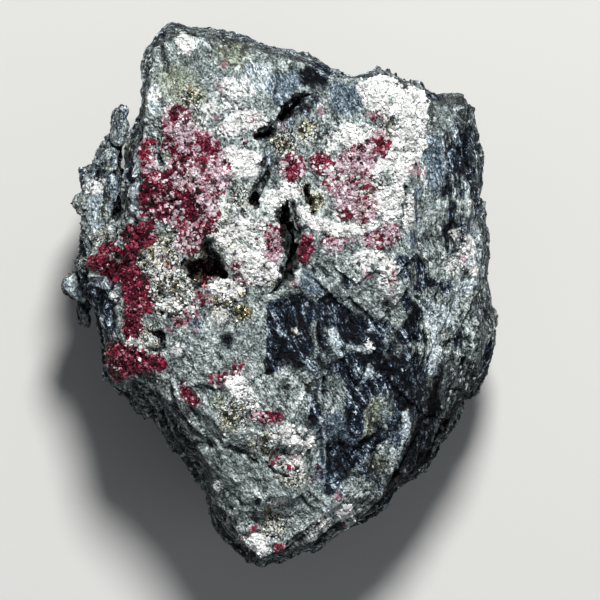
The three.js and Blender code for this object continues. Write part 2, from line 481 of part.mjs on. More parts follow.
// All that one flat break takes off a solid.
function brokenOff(solid, { bearing, tilt, shave }) {
  const azimuth = THREE.MathUtils.degToRad(bearing);
  const elevation = THREE.MathUtils.degToRad(tilt);
  const outwards = new THREE.Vector3(Math.cos(azimuth), Math.sin(azimuth), Math.tan(elevation));
  outwards.normalize();
  const vertices = new THREE.BufferAttribute(solid.getMesh().vertProperties, 3);
  const vertex = new THREE.Vector3();
  let furthest = -Infinity;
  for (let i = 0; i < vertices.count; i++) {
    furthest = Math.max(furthest, vertex.fromBufferAttribute(vertices, i).dot(outwards));
  }
  const box = new THREE.BoxGeometry(CUTTER_SIZE, CUTTER_SIZE, CUTTER_SIZE);
  box.translate(0, 0, CUTTER_SIZE / 2 + furthest - shave);
  const upwards = new THREE.Vector3(0, 0, 1);
  box.applyQuaternion(new THREE.Quaternion().setFromUnitVectors(upwards, outwards));
  return solidFrom(box);
}

// A crack along a line of points, narrow at its floor and open above, wider by a margin if asked.
function crack(name, margin = 0) {
  const stations = CRACKS[name];
  const last = stations.length - 1;
  const floorShare = HOLLOWS.includes(name) ? HOLLOW_FLOOR : CRACK_FLOOR;
  const geometry = new THREE.BoxGeometry(last, 1, 1, last, 1, 1);
  const position = geometry.attributes.position;
  for (let i = 0; i < position.count; i++) {
    const station = Math.round(position.getX(i) + last / 2);
    const [x, y, halfWidth, floor] = stations[station];
    const [ax, ay] = stations[Math.max(station - 1, 0)];
    const [bx, by] = stations[Math.min(station + 1, last)];
    const across = new THREE.Vector2(-(by - ay), bx - ax).normalize();
    const open = (ABOVE_ALL - floor) / Math.max(faceHeight(x, y) - floor, SHALLOWEST_CRACK);
    const atTop = position.getZ(i) > 0;
    const mouth = halfWidth * (floorShare + (1 - floorShare) * open);
    const reach = (atTop ? mouth : halfWidth * floorShare) + margin;
    const side = Math.sign(position.getY(i)) * reach;
    position.setXYZ(i, x + across.x * side, y + across.y * side, atTop ? ABOVE_ALL : floor);
  }
  return solidFrom(geometry);
}

// ---- The rock ----

function hostRock() {
  let block = barrel().intersect(underFace());
  for (const plane of BREAKS) block = block.subtract(brokenOff(block, plane));
  let rock = Object.values(BLADES).reduce((whole, shape) => whole.add(blade(shape)), block);
  for (const name of Object.keys(CRACKS)) rock = rock.subtract(crack(name));
  return largestPiece(rock);
}

// ---- The crusts ----

function grown(outline, gap) {
  return outline.map(([x, y], i) => {
    const [ax, ay] = outline[(i + outline.length - 1) % outline.length];
    const [bx, by] = outline[(i + 1) % outline.length];
    const before = new THREE.Vector2(-(y - ay), x - ax).normalize();
    const after = new THREE.Vector2(-(by - y), bx - x).normalize();
    const out = before.add(after).normalize().multiplyScalar(gap * CORNER_STRETCH);
    return [x + out.x, y + out.y];
  });
}

// A skin of even thickness laid on the rock within an outline, clear of the cracks and of the
// crusts laid before it. It stands off along the way that its stretch of rock faces.
function crust(rock, { outline, thick, facing = [0, 0, 1], floors }, neighbours) {
  const out = new THREE.Vector3(...facing).normalize();
  const seat = rock.translate(out.clone().multiplyScalar(SEAT_GAP).toArray());
  const skin = rock.translate(out.clone().multiplyScalar(SEAT_GAP + thick).toArray());
  let solid = skin.intersect(prism(outline)).subtract(seat);
  for (const name of Object.keys(CRACKS)) {
    if (name !== floors) solid = solid.subtract(crack(name, SEAT_GAP));
  }
  for (const other of neighbours) solid = solid.subtract(prism(grown(other.outline, SEAT_GAP)));
  return largestPiece(solid);
}

// ---- Assembly ----

function meshOf(name, solid, finish) {
  const mesh = new THREE.Mesh(geometryFrom(solid), new THREE.MeshStandardMaterial(FINISHES[finish]));
  mesh.name = name;
  return mesh;
}

const group = new THREE.Group();
const rock = hostRock();
group.add(meshOf("host_rock", rock, "host_rock"));

const laid = [];
for (const [name, spec] of Object.entries(CRUSTS)) {
  group.add(meshOf(name, crust(rock, spec, laid), spec.of));
  laid.push(spec);
}

export default group;
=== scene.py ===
# %% [markdown]
# # A hand specimen of cinnabar
#
# The object is one broken block of grey-green schist and blue-black slate. A vein of deep red
# cinnabar, white calcite and brassy pyrite crystals is grown over its front face. It lies on its
# flat back, and the camera looks straight down at the mineral face.
#
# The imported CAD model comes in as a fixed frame. It gives each piece its size and place, and this
# script gives each one its broken, crystalline surface. Everything is in metres. Shapes of a few
# millimetres are easier to read in millimetres, so `MM` turns one into the other.

# %% Load the fixed frame
from itertools import product

import bmesh
import bpy
import numpy as np
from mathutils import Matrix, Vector
from mathutils.bvhtree import BVHTree


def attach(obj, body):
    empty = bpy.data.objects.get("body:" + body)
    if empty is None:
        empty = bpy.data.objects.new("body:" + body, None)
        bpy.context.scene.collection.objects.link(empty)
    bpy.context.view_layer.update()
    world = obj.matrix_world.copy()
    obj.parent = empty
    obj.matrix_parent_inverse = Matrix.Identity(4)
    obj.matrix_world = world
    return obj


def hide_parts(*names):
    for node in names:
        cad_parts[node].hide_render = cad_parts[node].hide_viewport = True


MM = 0.001
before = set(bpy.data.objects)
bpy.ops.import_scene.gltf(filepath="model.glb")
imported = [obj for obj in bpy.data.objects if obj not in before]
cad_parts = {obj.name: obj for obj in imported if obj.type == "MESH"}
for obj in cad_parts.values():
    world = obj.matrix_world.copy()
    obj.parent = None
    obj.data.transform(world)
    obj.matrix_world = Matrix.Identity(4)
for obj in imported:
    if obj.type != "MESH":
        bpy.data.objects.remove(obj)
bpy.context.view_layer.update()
CRUST_NAMES = sorted(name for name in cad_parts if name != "host_rock")


def in_scene(name, data):
    """A new object in the scene, with its own data."""
    thing = bpy.data.objects.new(name, data)
    bpy.context.scene.collection.objects.link(thing)
    return thing


print("crusts:", len(CRUST_NAMES))

# %% [markdown]
# ## Camera, light and floor
#
# The specimen is seen from straight above, from so far away that the sides of the block don't
# splay out. A perspective camera with a very long lens does that, and unlike an orthographic one
# it still has a real place. The frame is a square 90 mm wide.

# %% The camera
FRAME_WIDTH = 90 * MM
FRAME_CENTRE = (3.0 * MM, -1.05 * MM)
WIDEST_LEVEL = 22 * MM  # the height of the block's widest line, which the frame is measured at
CAMERA_HEIGHT = 2.5
SENSOR = 36.0

camera = in_scene("camera", bpy.data.cameras.new("camera"))
camera.location = (*FRAME_CENTRE, CAMERA_HEIGHT)
camera.data.sensor_width = SENSOR
camera.data.lens = SENSOR * (CAMERA_HEIGHT - WIDEST_LEVEL) / FRAME_WIDTH
camera.data.clip_end = 20.0
bpy.context.scene.camera = camera
print("lens:", round(camera.data.lens), "mm")

# %% [markdown]
# A mineral is shown under one fairly hard light, so that its facets sparkle and its cracks stay
# dark. That light is a small bright area lamp high up beyond the top of the block. Two large dim
# lamps and a dim bluish sky keep the sides readable. The plain "Standard" view keeps the reds as
# deep as they are.

# %% Lamps, world and view
LAMPS = {
    "key": {"place": (0.10, 0.60, 0.82), "width": 0.24, "watts": 16.2, "colour": (1.0, 0.99, 0.97)},
    "fill": {"place": (0.75, -0.35, 0.65), "width": 0.7, "watts": 0.9, "colour": (0.92, 0.96, 1.0)},
    "rear": {"place": (-0.55, -0.75, 0.45), "width": 0.6, "watts": 0.6, "colour": (0.95, 0.97, 1.0)},
}
TARGET = Vector((0.0, 0.0, 0.03))
WORLD_COLOUR = (0.86, 0.92, 1.0, 1.0)
WORLD_STRENGTH = 0.13


def add_lamp(name, place, width, watts, colour):
    lamp = bpy.data.lights.new(name, "AREA")
    lamp.shape = "DISK"
    lamp.size = width
    lamp.energy = watts
    lamp.color = colour
    holder = in_scene(name, lamp)
    holder.location = place
    holder.rotation_euler = (TARGET - Vector(place)).to_track_quat("-Z", "Y").to_euler()


for lamp_name, spec in LAMPS.items():
    add_lamp(lamp_name, **spec)

world = bpy.data.worlds.new("studio")
world.use_nodes = True
world.node_tree.nodes["Background"].inputs["Color"].default_value = WORLD_COLOUR
world.node_tree.nodes["Background"].inputs["Strength"].default_value = WORLD_STRENGTH
bpy.context.scene.world = world
bpy.context.scene.view_settings.view_transform = "Standard"
print("lamps:", ", ".join(LAMPS))

# %% [markdown]
# ## A small kit for shader nodes
#
# A procedural stone needs many nodes. Two classes keep their code short: each of their functions
# adds a node to a tree, fills its sockets and gives back what the node puts out. The first class
# has the arithmetic. The second one adds colours, places and noises to it.

# %% A graph that grows node by node
class Graph:
    """A node tree, with short ways to add to it."""

    def __init__(self, tree):
        self.tree = tree

    def add(self, kind, inputs=None, **settings):
        node = self.tree.nodes.new(kind)
        for key, value in settings.items():
            setattr(node, key, value)
        for key, value in (inputs or {}).items():
            self.feed(node.inputs[key], value)
        return node

    def feed(self, socket, value):
        if isinstance(value, bpy.types.NodeSocket):
            self.tree.links.new(value, socket)
        else:
            socket.default_value = value

    def math(self, operation, *values, clamp=False):
        inputs = dict(enumerate(values))
        return self.add("ShaderNodeMath", inputs, operation=operation, use_clamp=clamp).outputs[0]

    def vector_math(self, operation, *values):
        return self.add("ShaderNodeVectorMath", dict(enumerate(values)), operation=operation).outputs[0]

    def times(self, first, second):
        return self.math("MULTIPLY", first, second)

    def plus(self, first, second):
        return self.math("ADD", first, second)

    def minus(self, first, second):
        return self.math("SUBTRACT", first, second)

    def larger(self, first, second):
        return self.math("MAXIMUM", first, second)

    def times_plus(self, first, factor, added):
        return self.math("MULTIPLY_ADD", first, factor, added)

    def tone_of(self, start, *shares):
        """Noises added up around a middle tone, each with its own strength."""
        total = start
        for value, strength in shares:
            total = self.times_plus(self.minus(value, 0.5), strength, total)
        return total

    def between(self, value, low, high, to_low=0.0, to_high=1.0):
        inputs = {"Value": value, "From Min": low, "From Max": high, "To Min": to_low, "To Max": to_high}
        return self.add("ShaderNodeMapRange", inputs, clamp=True).outputs[0]


def ways_of(kit):
    return ", ".join(name for name in vars(kit) if not name.startswith("_"))


print("arithmetic:", ways_of(Graph))

# %% Colours, places and noises
def colour(red, green, blue):
    return (red, green, blue, 1.0)


class StoneGraph(Graph):
    """The same, with colours, places and noises."""

    def mix(self, share, first, second, way="MIX"):
        inputs = {0: share, 6: first, 7: second}  # by number, as several sockets share a name
        return self.add("ShaderNodeMix", inputs, data_type="RGBA", blend_type=way).outputs[2]

    def tinted(self, first, second):
        """Two colours multiplied."""
        return self.mix(1.0, first, second, "MULTIPLY")

    def grey(self, value):
        inputs = {"Red": value, "Green": value, "Blue": value}
        return self.add("ShaderNodeCombineColor", inputs).outputs["Color"]

    def ramp(self, tone, stops):
        """A tone from 0 to 1 turned into a colour, by stops of tone, red, green and blue."""
        node = self.add("ShaderNodeValToRGB", {"Fac": tone})
        ramp = node.color_ramp
        while len(ramp.elements) < len(stops):
            ramp.elements.new(0.5)
        for element, (position, *shade) in zip(ramp.elements, stops):
            element.position = position
            element.color = colour(*shade)
        return node.outputs["Color"]

    def blend_vector(self, share, first, second):
        return self.add("ShaderNodeMix", {0: share, 4: first, 5: second}, data_type="VECTOR").outputs[1]

    def noise(self, vector, scale, detail=2.0, rough=0.55, distortion=0.0):
        inputs = {"Vector": vector, "Scale": scale, "Detail": detail, "Roughness": rough,
                  "Distortion": distortion}
        return self.add("ShaderNodeTexNoise", inputs).outputs["Fac"]

    def attribute(self, name):
        return self.add("ShaderNodeAttribute", attribute_name=name).outputs["Fac"]

    def laid(self, vector, sizes, turned=(0.0, 0.0, 0.0)):
        """The place measured along turned axes, each in units of its own size."""
        inputs = {"Vector": vector, "Scale": sizes, "Rotation": turned}
        return self.add("ShaderNodeMapping", inputs, vector_type="TEXTURE").outputs["Vector"]

    def millimetres(self):
        place = self.add("ShaderNodeTexCoord").outputs["Object"]
        return self.laid(place, (MM, MM, MM))

    def group(self, tree, **inputs):
        return self.add("ShaderNodeGroup", inputs, node_tree=tree).outputs

    def bump(self, shader, height):
        """A fine relief in the shader's own normal. The height is in millimetres."""
        node = self.add("ShaderNodeBump", {"Strength": 1.0, "Distance": MM, "Height": height})
        self.feed(shader.inputs["Normal"], node.outputs["Normal"])


def new_material(name):
    material = bpy.data.materials.new(name)
    material.use_nodes = True
    return material, StoneGraph(material.node_tree), material.node_tree.nodes["Principled BSDF"]


print("colours, places and noises:", ways_of(StoneGraph))

# %% [markdown]
# ## The floor
#
# A plain pale board. It only has to be quiet, with a trace of unevenness in its colour.

# %% Floor
FLOOR_HALF = 1.5
floor_material, floor_graph, floor_shader = new_material("pale_board")
floor_place = floor_graph.add("ShaderNodeTexCoord").outputs["Object"]
floor_tone = floor_graph.noise(floor_place, 6.0, 3.0)
floor_pale = floor_graph.mix(floor_tone, colour(0.52, 0.52, 0.51), colour(0.56, 0.56, 0.55))
floor_graph.feed(floor_shader.inputs["Base Color"], floor_pale)
floor_shader.inputs["Roughness"].default_value = 0.7

floor_mesh = bpy.data.meshes.new("floor")
corners = [(-1, -1), (1, -1), (1, 1), (-1, 1)]
floor_mesh.from_pydata([(x * FLOOR_HALF, y * FLOOR_HALF, 0.0) for x, y in corners], [], [(0, 1, 2, 3)])
floor_mesh.materials.append(floor_material)
floor = in_scene("floor", floor_mesh)
print("floor:", 2 * FLOOR_HALF, "m wide")

# %% [markdown]
# ## Random shapes that come out the same each time
#
# Broken rock is random, but it has a grain. Soft noise makes its gentle swells. Chips are flat
# tilted facets, one to each cell, as a hard rock breaks. Both work on whole arrays of points, and
# take their randomness from the point's own place. A lattice gives that: it stirs the whole
# numbers of a grid corner together until nothing of their order is left. Blender's own textures
# could shape the skin too, but not with a different rule for each part of it.

# %% Swells
STIRS = (73856093, 19349663, 83492791, 49979687)  # large primes, for x, y, z and the seed
REMIXES = (1274126177, 668265263)
LOW_31_BITS = 0x7FFFFFFF
LOW_24_BITS = 0xFFFFFF


def lattice(x, y, z, seed):
    """A repeatable random number from 0 to 1 for each corner of a grid."""
    mixed = (x * STIRS[0]) ^ (y * STIRS[1]) ^ (z * STIRS[2]) ^ (seed * STIRS[3])
    mixed = ((mixed ^ (mixed >> 13)) * REMIXES[0]) & LOW_31_BITS
    mixed = ((mixed ^ (mixed >> 15)) * REMIXES[1]) & LOW_31_BITS
    return ((mixed ^ (mixed >> 16)) & LOW_24_BITS) / LOW_24_BITS


def soft_noise(points, seed):
    """Smooth noise from -1 to 1, with swells about one unit wide."""
    cell = np.floor(points).astype(np.int64)
    share = points - cell
    share = share * share * (3 - 2 * share)
    total = np.zeros(len(points))
    for step in product((0, 1), repeat=3):
        weight = np.abs(1 - np.array(step) - share).prod(1)
        total += weight * lattice(*(cell + step).T, seed)
    return total * 2 - 1


def layered_noise(points, seed, layers=3):
    return sum(soft_noise(points * 2.03**k, seed + k) * 0.5**k for k in range(layers))


test_row = np.linspace((0.0, 0.0, 0.0), (60.0, 31.0, 17.0), 2000)
test_swells = soft_noise(test_row, 1)
print("swells run from", test_swells.min().round(2), "to", test_swells.max().round(2))

# %% Chips
def chips(points, seed):
    """Heights of flat tilted facets about one unit wide, from about -1 to 1."""
    cell = np.floor(points).astype(np.int64)
    nearest = np.full(len(points), np.inf)
    owner = cell.copy()
    gap = np.zeros_like(points)
    for step in product((-1, 0, 1), repeat=3):
        corner = cell + step
        jitter = [lattice(*corner.T, seed + k) for k in range(3)]
        offset = points - corner - np.stack(jitter, 1)
        distance = (offset**2).sum(1)
        closer = distance < nearest
        nearest = np.where(closer, distance, nearest)
        owner[closer] = corner[closer]
        gap[closer] = offset[closer]
    tilt = np.stack([lattice(*owner.T, seed + 10 + k) for k in range(3)], 1) * 2 - 1
    level = lattice(*owner.T, seed + 20) * 2 - 1
    return 0.5 * level + (gap * tilt).sum(1)


test_chips = chips(test_row, 1)
print("chips run from", test_chips.min().round(2), "to", test_chips.max().round(2))

# %% [markdown]
# ## The rock's mesh
#
# The CAD block has large flat facets and hardly any points between them. A voxel remesh turns it
# into an even skin of small squares, about a third of a millimetre wide. That is fine enough to
# carry ledges and chips as real geometry. Sculpting by hand or the Displace modifier could also
# do this, but arrays of points let each part of the face follow its own rule.

# %% A welded copy of the block
WELD = 0.002 * MM  # corners this near to each other become one


def welded_copy(node, name):
    mesh = node.data.copy()
    mesh.name = name
    shape = bmesh.new()
    shape.from_mesh(mesh)
    bmesh.ops.remove_doubles(shape, verts=shape.verts, dist=WELD)
    shape.to_mesh(mesh)
    shape.free()
    return in_scene(name, mesh)


rock = welded_copy(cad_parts["host_rock"], "schist_block")
print("corners of the block:", len(rock.data.vertices))

# %% [markdown]
# Real cracks aren't clean: bits of broken rock are jammed in them, so their walls are ragged. Each
# bit is the convex solid around random points of a tall egg. The bits join the block before the
# remesh, so that one skin runs over all of it.

# %% Convex solids
def hull(points):
    """The convex solid around some points, as its points and its triangles."""
    shape = bmesh.new()
    for point in points:
        shape.verts.new(point)
    made = bmesh.ops.convex_hull(shape, input=shape.verts)
    loose = made["geom_unused"] + made["geom_interior"]
    unused = {item for item in loose if isinstance(item, bmesh.types.BMVert)}
    bmesh.ops.delete(shape, geom=list(unused), context="VERTS")
    bmesh.ops.recalc_face_normals(shape, faces=shape.faces)
    shape.verts.index_update()
    solid = np.array([vertex.co[:] for vertex in shape.verts])
    triangles = np.array([[vertex.index for vertex in face.verts] for face in shape.faces])
    shape.free()
    return solid, triangles


print("the hull of a cube has", len(hull(list(product((0, 1), repeat=3)))[1]), "triangles")

# %% Bits of rock jammed in the cracks
# x, y, height of the top and reach sideways, in millimetres
RUBBLE = [
    (4.2, 29.7, 36.6, 1), (3.2, 29.2, 36.2, 1.3), (-0.5, 25.3, 39.5, 1.3), (1.6, 27.6, 35, 1.3),
    (-1.3, 24.5, 37.4, 0.9), (-3.4, 23.3, 38.2, 0.9), (2.2, 12.2, 38.2, 1.1), (2.9, 9.2, 38, 1),
    (1.6, 13.4, 38, 0.8), (-0.3, 9.8, 38.4, 0.7), (2.9, 6.4, 38.4, 0.8), (0, 4.6, 38.4, 0.8),
    (1.9, 2.6, 38, 0.8), (-1.4, 0.1, 38.6, 0.8), (-3.1, 15.4, 38.6, 0.9), (-1.8, 17.9, 38.8, 0.6),
    (-8.2, 4.7, 38.8, 1), (-9.6, 5.7, 38, 1), (-12.8, 1.9, 36.6, 1.3), (-13.9, 5.2, 36.6, 1),
    (-12, 5.9, 37.4, 0.9), (-9.3, 2, 36.8, 0.9), (-10.9, 7.3, 38.4, 0.8), (-14.6, 3, 37.2, 0.9),
    (3.9, 14.4, 37.9, 0.7), (-17.9, -8, 33.2, 0.9), (-18.9, -5.6, 34.2, 0.7),
]
RUBBLE_DEPTH = 3.6
RUBBLE_CORNERS = 16
RUBBLE_SEED = 7


def rubble_mesh(random, x, y, top, reach):
    ways = random.normal(size=(RUBBLE_CORNERS, 3))
    ways /= np.linalg.norm(ways, axis=1, keepdims=True)
    spread = np.array([reach, reach, RUBBLE_DEPTH / 2])
    solid, triangles = hull((x, y, top - RUBBLE_DEPTH / 2) + ways * spread)
    mesh = bpy.data.meshes.new("rubble")
    mesh.from_pydata((solid * MM).tolist(), [], triangles.tolist())
    return mesh


whole = bmesh.new()
whole.from_mesh(rock.data)
rubble_random = np.random.default_rng(RUBBLE_SEED)
for bit in RUBBLE:
    whole.from_mesh(rubble_mesh(rubble_random, *bit))
whole.to_mesh(rock.data)
whole.free()
print("bits of rubble:", len(RUBBLE))

# %% One even skin over all of it
VOXEL = 0.34 * MM


def with_modifiers_applied(thing):
    bpy.context.view_layer.update()
    graph = bpy.context.evaluated_depsgraph_get()
    made = bpy.data.meshes.new_from_object(thing.evaluated_get(graph))
    thing.modifiers.clear()
    thing.data = made


remesh = rock.modifiers.new("even skin", "REMESH")
remesh.mode = "VOXEL"
remesh.voxel_size = VOXEL
with_modifiers_applied(rock)
rock.data.materials.clear()
print("squares of the skin:", len(rock.data.polygons))

# %% Points and directions as arrays
def read(items, key, width, kind=np.float32):
    """What each of some points, edges or faces says under a key, as rows of an array."""
    flat = np.empty(len(items) * width, kind)
    items.foreach_get(key, flat)
    return flat.reshape(-1, width)


def read_points(mesh):
    return read(mesh.vertices, "co", 3, float) / MM


def read_normals(mesh):
    return read(mesh.vertex_normals, "vector", 3).astype(float)


def write_points(mesh, points):
    mesh.vertices.foreach_set("co", (points * MM).ravel())
    mesh.update()


skin = read_points(rock.data)
edge_ends = read(rock.data.edges, "vertices", 2, np.int32)
neighbours = np.bincount(edge_ends.ravel(), minlength=len(skin))
print("points on the rock:", len(skin))

# %% [markdown]
# Masks need soft borders, and directions mustn't follow every little square. So values are evened
# out along the skin: each point takes on half of its neighbours' mean, a few times over.

# %% Evening out over the skin
OUTWARDS_ROUNDS = 4


def evened(values, rounds):
    for _ in range(rounds):
        total = np.bincount(edge_ends[:, 0], values[edge_ends[:, 1]], len(values))
        total += np.bincount(edge_ends[:, 1], values[edge_ends[:, 0]], len(values))
        values = 0.5 * values + 0.5 * total / neighbours
    return values


def evened_vectors(vectors, rounds):
    return np.stack([evened(vectors[:, k], rounds) for k in range(3)], 1)


outwards = evened_vectors(read_normals(rock.data), OUTWARDS_ROUNDS)
outwards /= np.linalg.norm(outwards, axis=1, keepdims=True)
print("share of the skin that faces up:", round(float((outwards[:, 2] > 0.5).mean()), 2))

# %% [markdown]
# ## Where each kind of rock shows on the face
#
# The outlines below are in millimetres, looking down on the face. Dark slate shows where sheets
# of the lighter schist have split away. Silky pale sheets and blue-grey ones lie between them.
# Each outline only has the corners that its patch needs, because noise frays every border later.

# %% Outlines of slate in the middle
MIDDLE_SLATE = {
    "broad_slab": [
        (-2, -1.8), (0.3, -1.4), (1.6, -0.8), (3.2, -0.3), (5, -0.5), (5.2, -3.6), (4.7, -7), (4.4, -9.8),
        (3.9, -11), (3, -11.2), (1.8, -10.6), (0.8, -10.8), (-0.4, -11.4), (-1.2, -12.4), (-2.2, -12.2),
    ],
    "middle_slab": [
        (5.5, -0.6), (8.4, -0.7), (10.4, -1.8), (12.2, -3.2), (14.2, -4.4), (15.1, -6.4), (15.7, -8.3),
        (15.2, -9.6), (13.2, -8.9), (11.6, -7.8), (9.9, -7.8), (9, -6.4), (8.3, -5.2), (7, -4.6),
        (5.7, -4.2),
    ],
    "middle_specks": [(5.6, -4.6), (6.8, -5.2), (7.4, -8), (6.6, -9.4), (5.8, -9)],
    "slab_tail": [
        (6.4, -9.8), (9.4, -9.7), (10, -8.6), (14, -8.8), (15.6, -9.8), (15.8, -13.4), (15.4, -15.4),
        (14.6, -14.4), (13.4, -15.4), (12.6, -17.4), (12, -19.8), (12.2, -21.6), (11.2, -21),
        (10.2, -18.4), (10.2, -15), (9.6, -13), (8.2, -11.4), (6.6, -11.2),
    ],
    "brown_band": [(15.8, -9.2), (20.8, -9.2), (21.4, -11.4), (21.4, -14), (17.5, -14.4), (16, -14.8)],
    "navy_piece": [
        (17.4, -14.6), (21, -14.4), (20.6, -17.8), (19.8, -20.6), (19.2, -18), (18.6, -17.2),
        (17.8, -18.4), (16.6, -17.2),
    ],
    "right_gash": [
        (24.6, -9.6), (24.2, -12), (23.6, -15), (23.3, -18.5), (22.6, -20.6), (22.2, -23.6), (21, -27.2),
        (19, -27.8), (16.6, -30.4), (15.4, -31.4), (15.8, -28.4), (17, -25.8), (19.2, -22.4), (20.8, -19),
        (21.6, -16.6), (22.2, -13.4), (23.4, -10.6),
    ],
    "gap": [
        (14.4, -19.4), (16, -19.8), (16.4, -20.8), (15.2, -21.8), (14.2, -22.6), (13.8, -24.4),
        (12.6, -24.2), (11.4, -24), (8, -22.2), (9.8, -21.8), (12.4, -22.4), (13.8, -21.6),
    ],
    "lower_step": [(4, -19.8), (4.8, -16.2), (5.6, -16), (6.2, -17.8), (6, -21), (4.8, -21)],
    "lower_slab": [
        (7, -22.4), (8.8, -22.4), (9.6, -23.6), (12.4, -24.4), (12.2, -25.6), (10.4, -26.8), (9.2, -28.6),
        (8.6, -30), (7, -30.4), (6.6, -28),
    ],
    "speck_trail": [(9.2, 3.4), (10.4, 3.6), (10.8, 1.4), (10.2, 0), (9.4, 1.2)],
    "small_triangle": [(-9.2, -6.2), (-6.8, -6.4), (-7.6, -8.8), (-8.2, -8.6)],
}
print("patches of slate in the middle:", len(MIDDLE_SLATE))

# %% Outlines of slate nearer the edges
EDGE_SLATE = {
    "right_sliver": [
        (24.9, 14), (25.6, 13), (26.2, 12), (26.3, 10.6), (25.8, 9.6), (25.4, 8.4), (25.1, 7), (24.8, 5),
        (24.3, 6.8), (24.2, 9), (24.8, 11),
    ],
    "right_wedge": [(26.6, 10.4), (27.6, 9.8), (28.1, 8.4), (27.4, 6.8), (26.9, 6.6), (26.2, 8.2)],
    "right_upper_band": [
        (24.8, 21.8), (25.6, 21.2), (26.2, 22.4), (26.8, 24.6), (27.4, 24.9), (27.8, 27), (28.4, 28),
        (29.1, 27), (29.2, 25.4), (28.8, 23), (28.6, 20), (28.7, 17), (28.8, 15), (28.2, 14.2),
        (27.8, 15.4), (27.3, 17), (26.6, 18), (26, 17.2), (25.2, 17.8), (25.2, 15.4), (25, 14.2),
        (24.5, 14.6), (24.7, 17.6),
    ],
    "right_middle": [
        (19.7, 6.4), (20.8, 5.4), (21.7, 4.6), (22, 3), (23.2, 2.6), (23.4, 1.4), (24.6, 1.8), (25.6, 1.6),
        (24.9, 0.2), (24.2, -0.2), (23.4, 0.6), (22.6, 0), (21.8, 0.6), (21, 0.2), (20.4, 0.6),
        (20.3, 2.4), (20.2, 4.4),
    ],
    "right_speckle": [(16.9, 5.4), (18.4, 5.8), (19.8, 6.2), (19.9, 4.2), (18.6, 3.4), (17.4, 3.6)],
    "right_arc": [
        (18.6, 0.2), (19.5, 0.2), (19.9, -0.6), (20.3, -1.8), (21, -2.6), (20.8, -4.6), (21.8, -6.4),
        (22.2, -8), (20.6, -7.6), (19.4, -8), (18, -7.2), (17.2, -5.8), (15.2, -5.6), (14.4, -5.2),
        (15, -4.6), (16.4, -5.2), (18.4, -5), (19.1, -3.6), (18.8, -1.6),
    ],
    "right_lower": [(26.9, -5.2), (27.6, -5.8), (27.4, -7.6), (27, -9.2), (26, -8.6), (26.4, -6.6)],
    "right_notch": [(29.8, -8.6), (31.4, -6.6), (31.4, -9.6), (30.2, -11.6), (29.2, -10.4)],
    "top_knot": [
        (3, 33.2), (3.9, 33.9), (5, 34.8), (6, 34.4), (7.4, 33.2), (8, 32.4), (7.4, 31.2), (6.2, 30.4),
        (5.6, 31.4), (4.4, 31), (3.2, 30), (2.9, 31.6),
    ],
    "under_crevice": [(1.8, 28.4), (3.4, 29), (4.4, 28.4), (4.2, 26.8), (3.2, 26.2), (2.2, 26.2)],
    "top_right_lip": [
        (21.8, 30.4), (22.6, 30), (23, 29.2), (24, 29.6), (24.6, 30.2), (24.2, 28.4), (23, 28.1),
        (21.9, 28.6),
    ],
    "left_flank": [
        (-28.8, 3.2), (-27.4, 2.2), (-26.6, 0.6), (-25, 0.4), (-24, -0.4), (-23.8, -2.6), (-24, -4.6),
        (-24.6, -6.4), (-25.6, -6.2), (-26.6, -3.6), (-28, -1.4), (-29, 0.6),
    ],
}
SLATE_PATCHES = {**MIDDLE_SLATE, **EDGE_SLATE}
print("patches of slate in all:", len(SLATE_PATCHES))

# %% Outlines of blue sheets
BLUE_PATCHES = {
    "crevice_rim": [
        (-0.7, 33), (0.6, 32.4), (2.8, 33.8), (3.2, 31.6), (2.9, 29.8), (1.8, 29), (0.6, 28), (-0.6, 28.2),
        (-1.4, 29.2), (-2.2, 30.2), (-1.8, 31.8),
    ],
    "top_middle": [
        (7.8, 31.8), (9.8, 31.2), (11, 31.6), (12.2, 30.8), (12.3, 29), (12.2, 27.2), (10.6, 26.4),
        (9, 27), (7.8, 27.6),
    ],
    "right_upper": [
        (22, 23.6), (23, 24), (24, 23.4), (24.4, 22), (24.9, 21), (24.7, 18), (24.5, 15.6), (23.2, 15.2),
        (22.2, 16.2), (21.8, 17.8), (21.9, 20),
    ],
    "right_column": [
        (19.8, 16), (21.3, 16), (21.1, 13), (20.9, 10), (20.7, 7), (19.6, 6), (18.7, 8), (19.7, 9.6),
        (20.1, 12.5),
    ],
    "splinter_tint": [(-25.6, 16.8), (-23.9, 18), (-23.4, 15), (-24, 12), (-25.6, 12.4)],
    "slab_fringe": [(2.4, 0.8), (4, 3.4), (5.4, 2.6), (7, 1), (8.6, 0.6), (6, -0.4), (4, 0.2)],
    "small_blue": [(-14, -4.6), (-12, -3.8), (-10.8, -4.4), (-11.8, -5.2), (-12.2, -7), (-12.9, -6.2)],
    "right_leg": [(15.8, -18), (18, -17.8), (18.2, -19.8), (17.8, -22), (16.4, -22.2), (16, -20)],
    "left_shoulder": [(-8.9, 31), (-8, 30), (-7.2, 27), (-7.2, 25.4), (-8.7, 25.4), (-8.7, 28)],
    "speckled_floor": [
        (6.8, -18.2), (8.4, -17.8), (10.2, -18.4), (11.8, -20.8), (11.8, -21.9), (8.4, -21.9),
        (6.8, -21.4),
    ],
    "low_column": [(5.6, -21), (6.8, -21.4), (7, -29), (5.8, -29.6), (5.4, -25)],
}
print("blue patches:", len(BLUE_PATCHES))

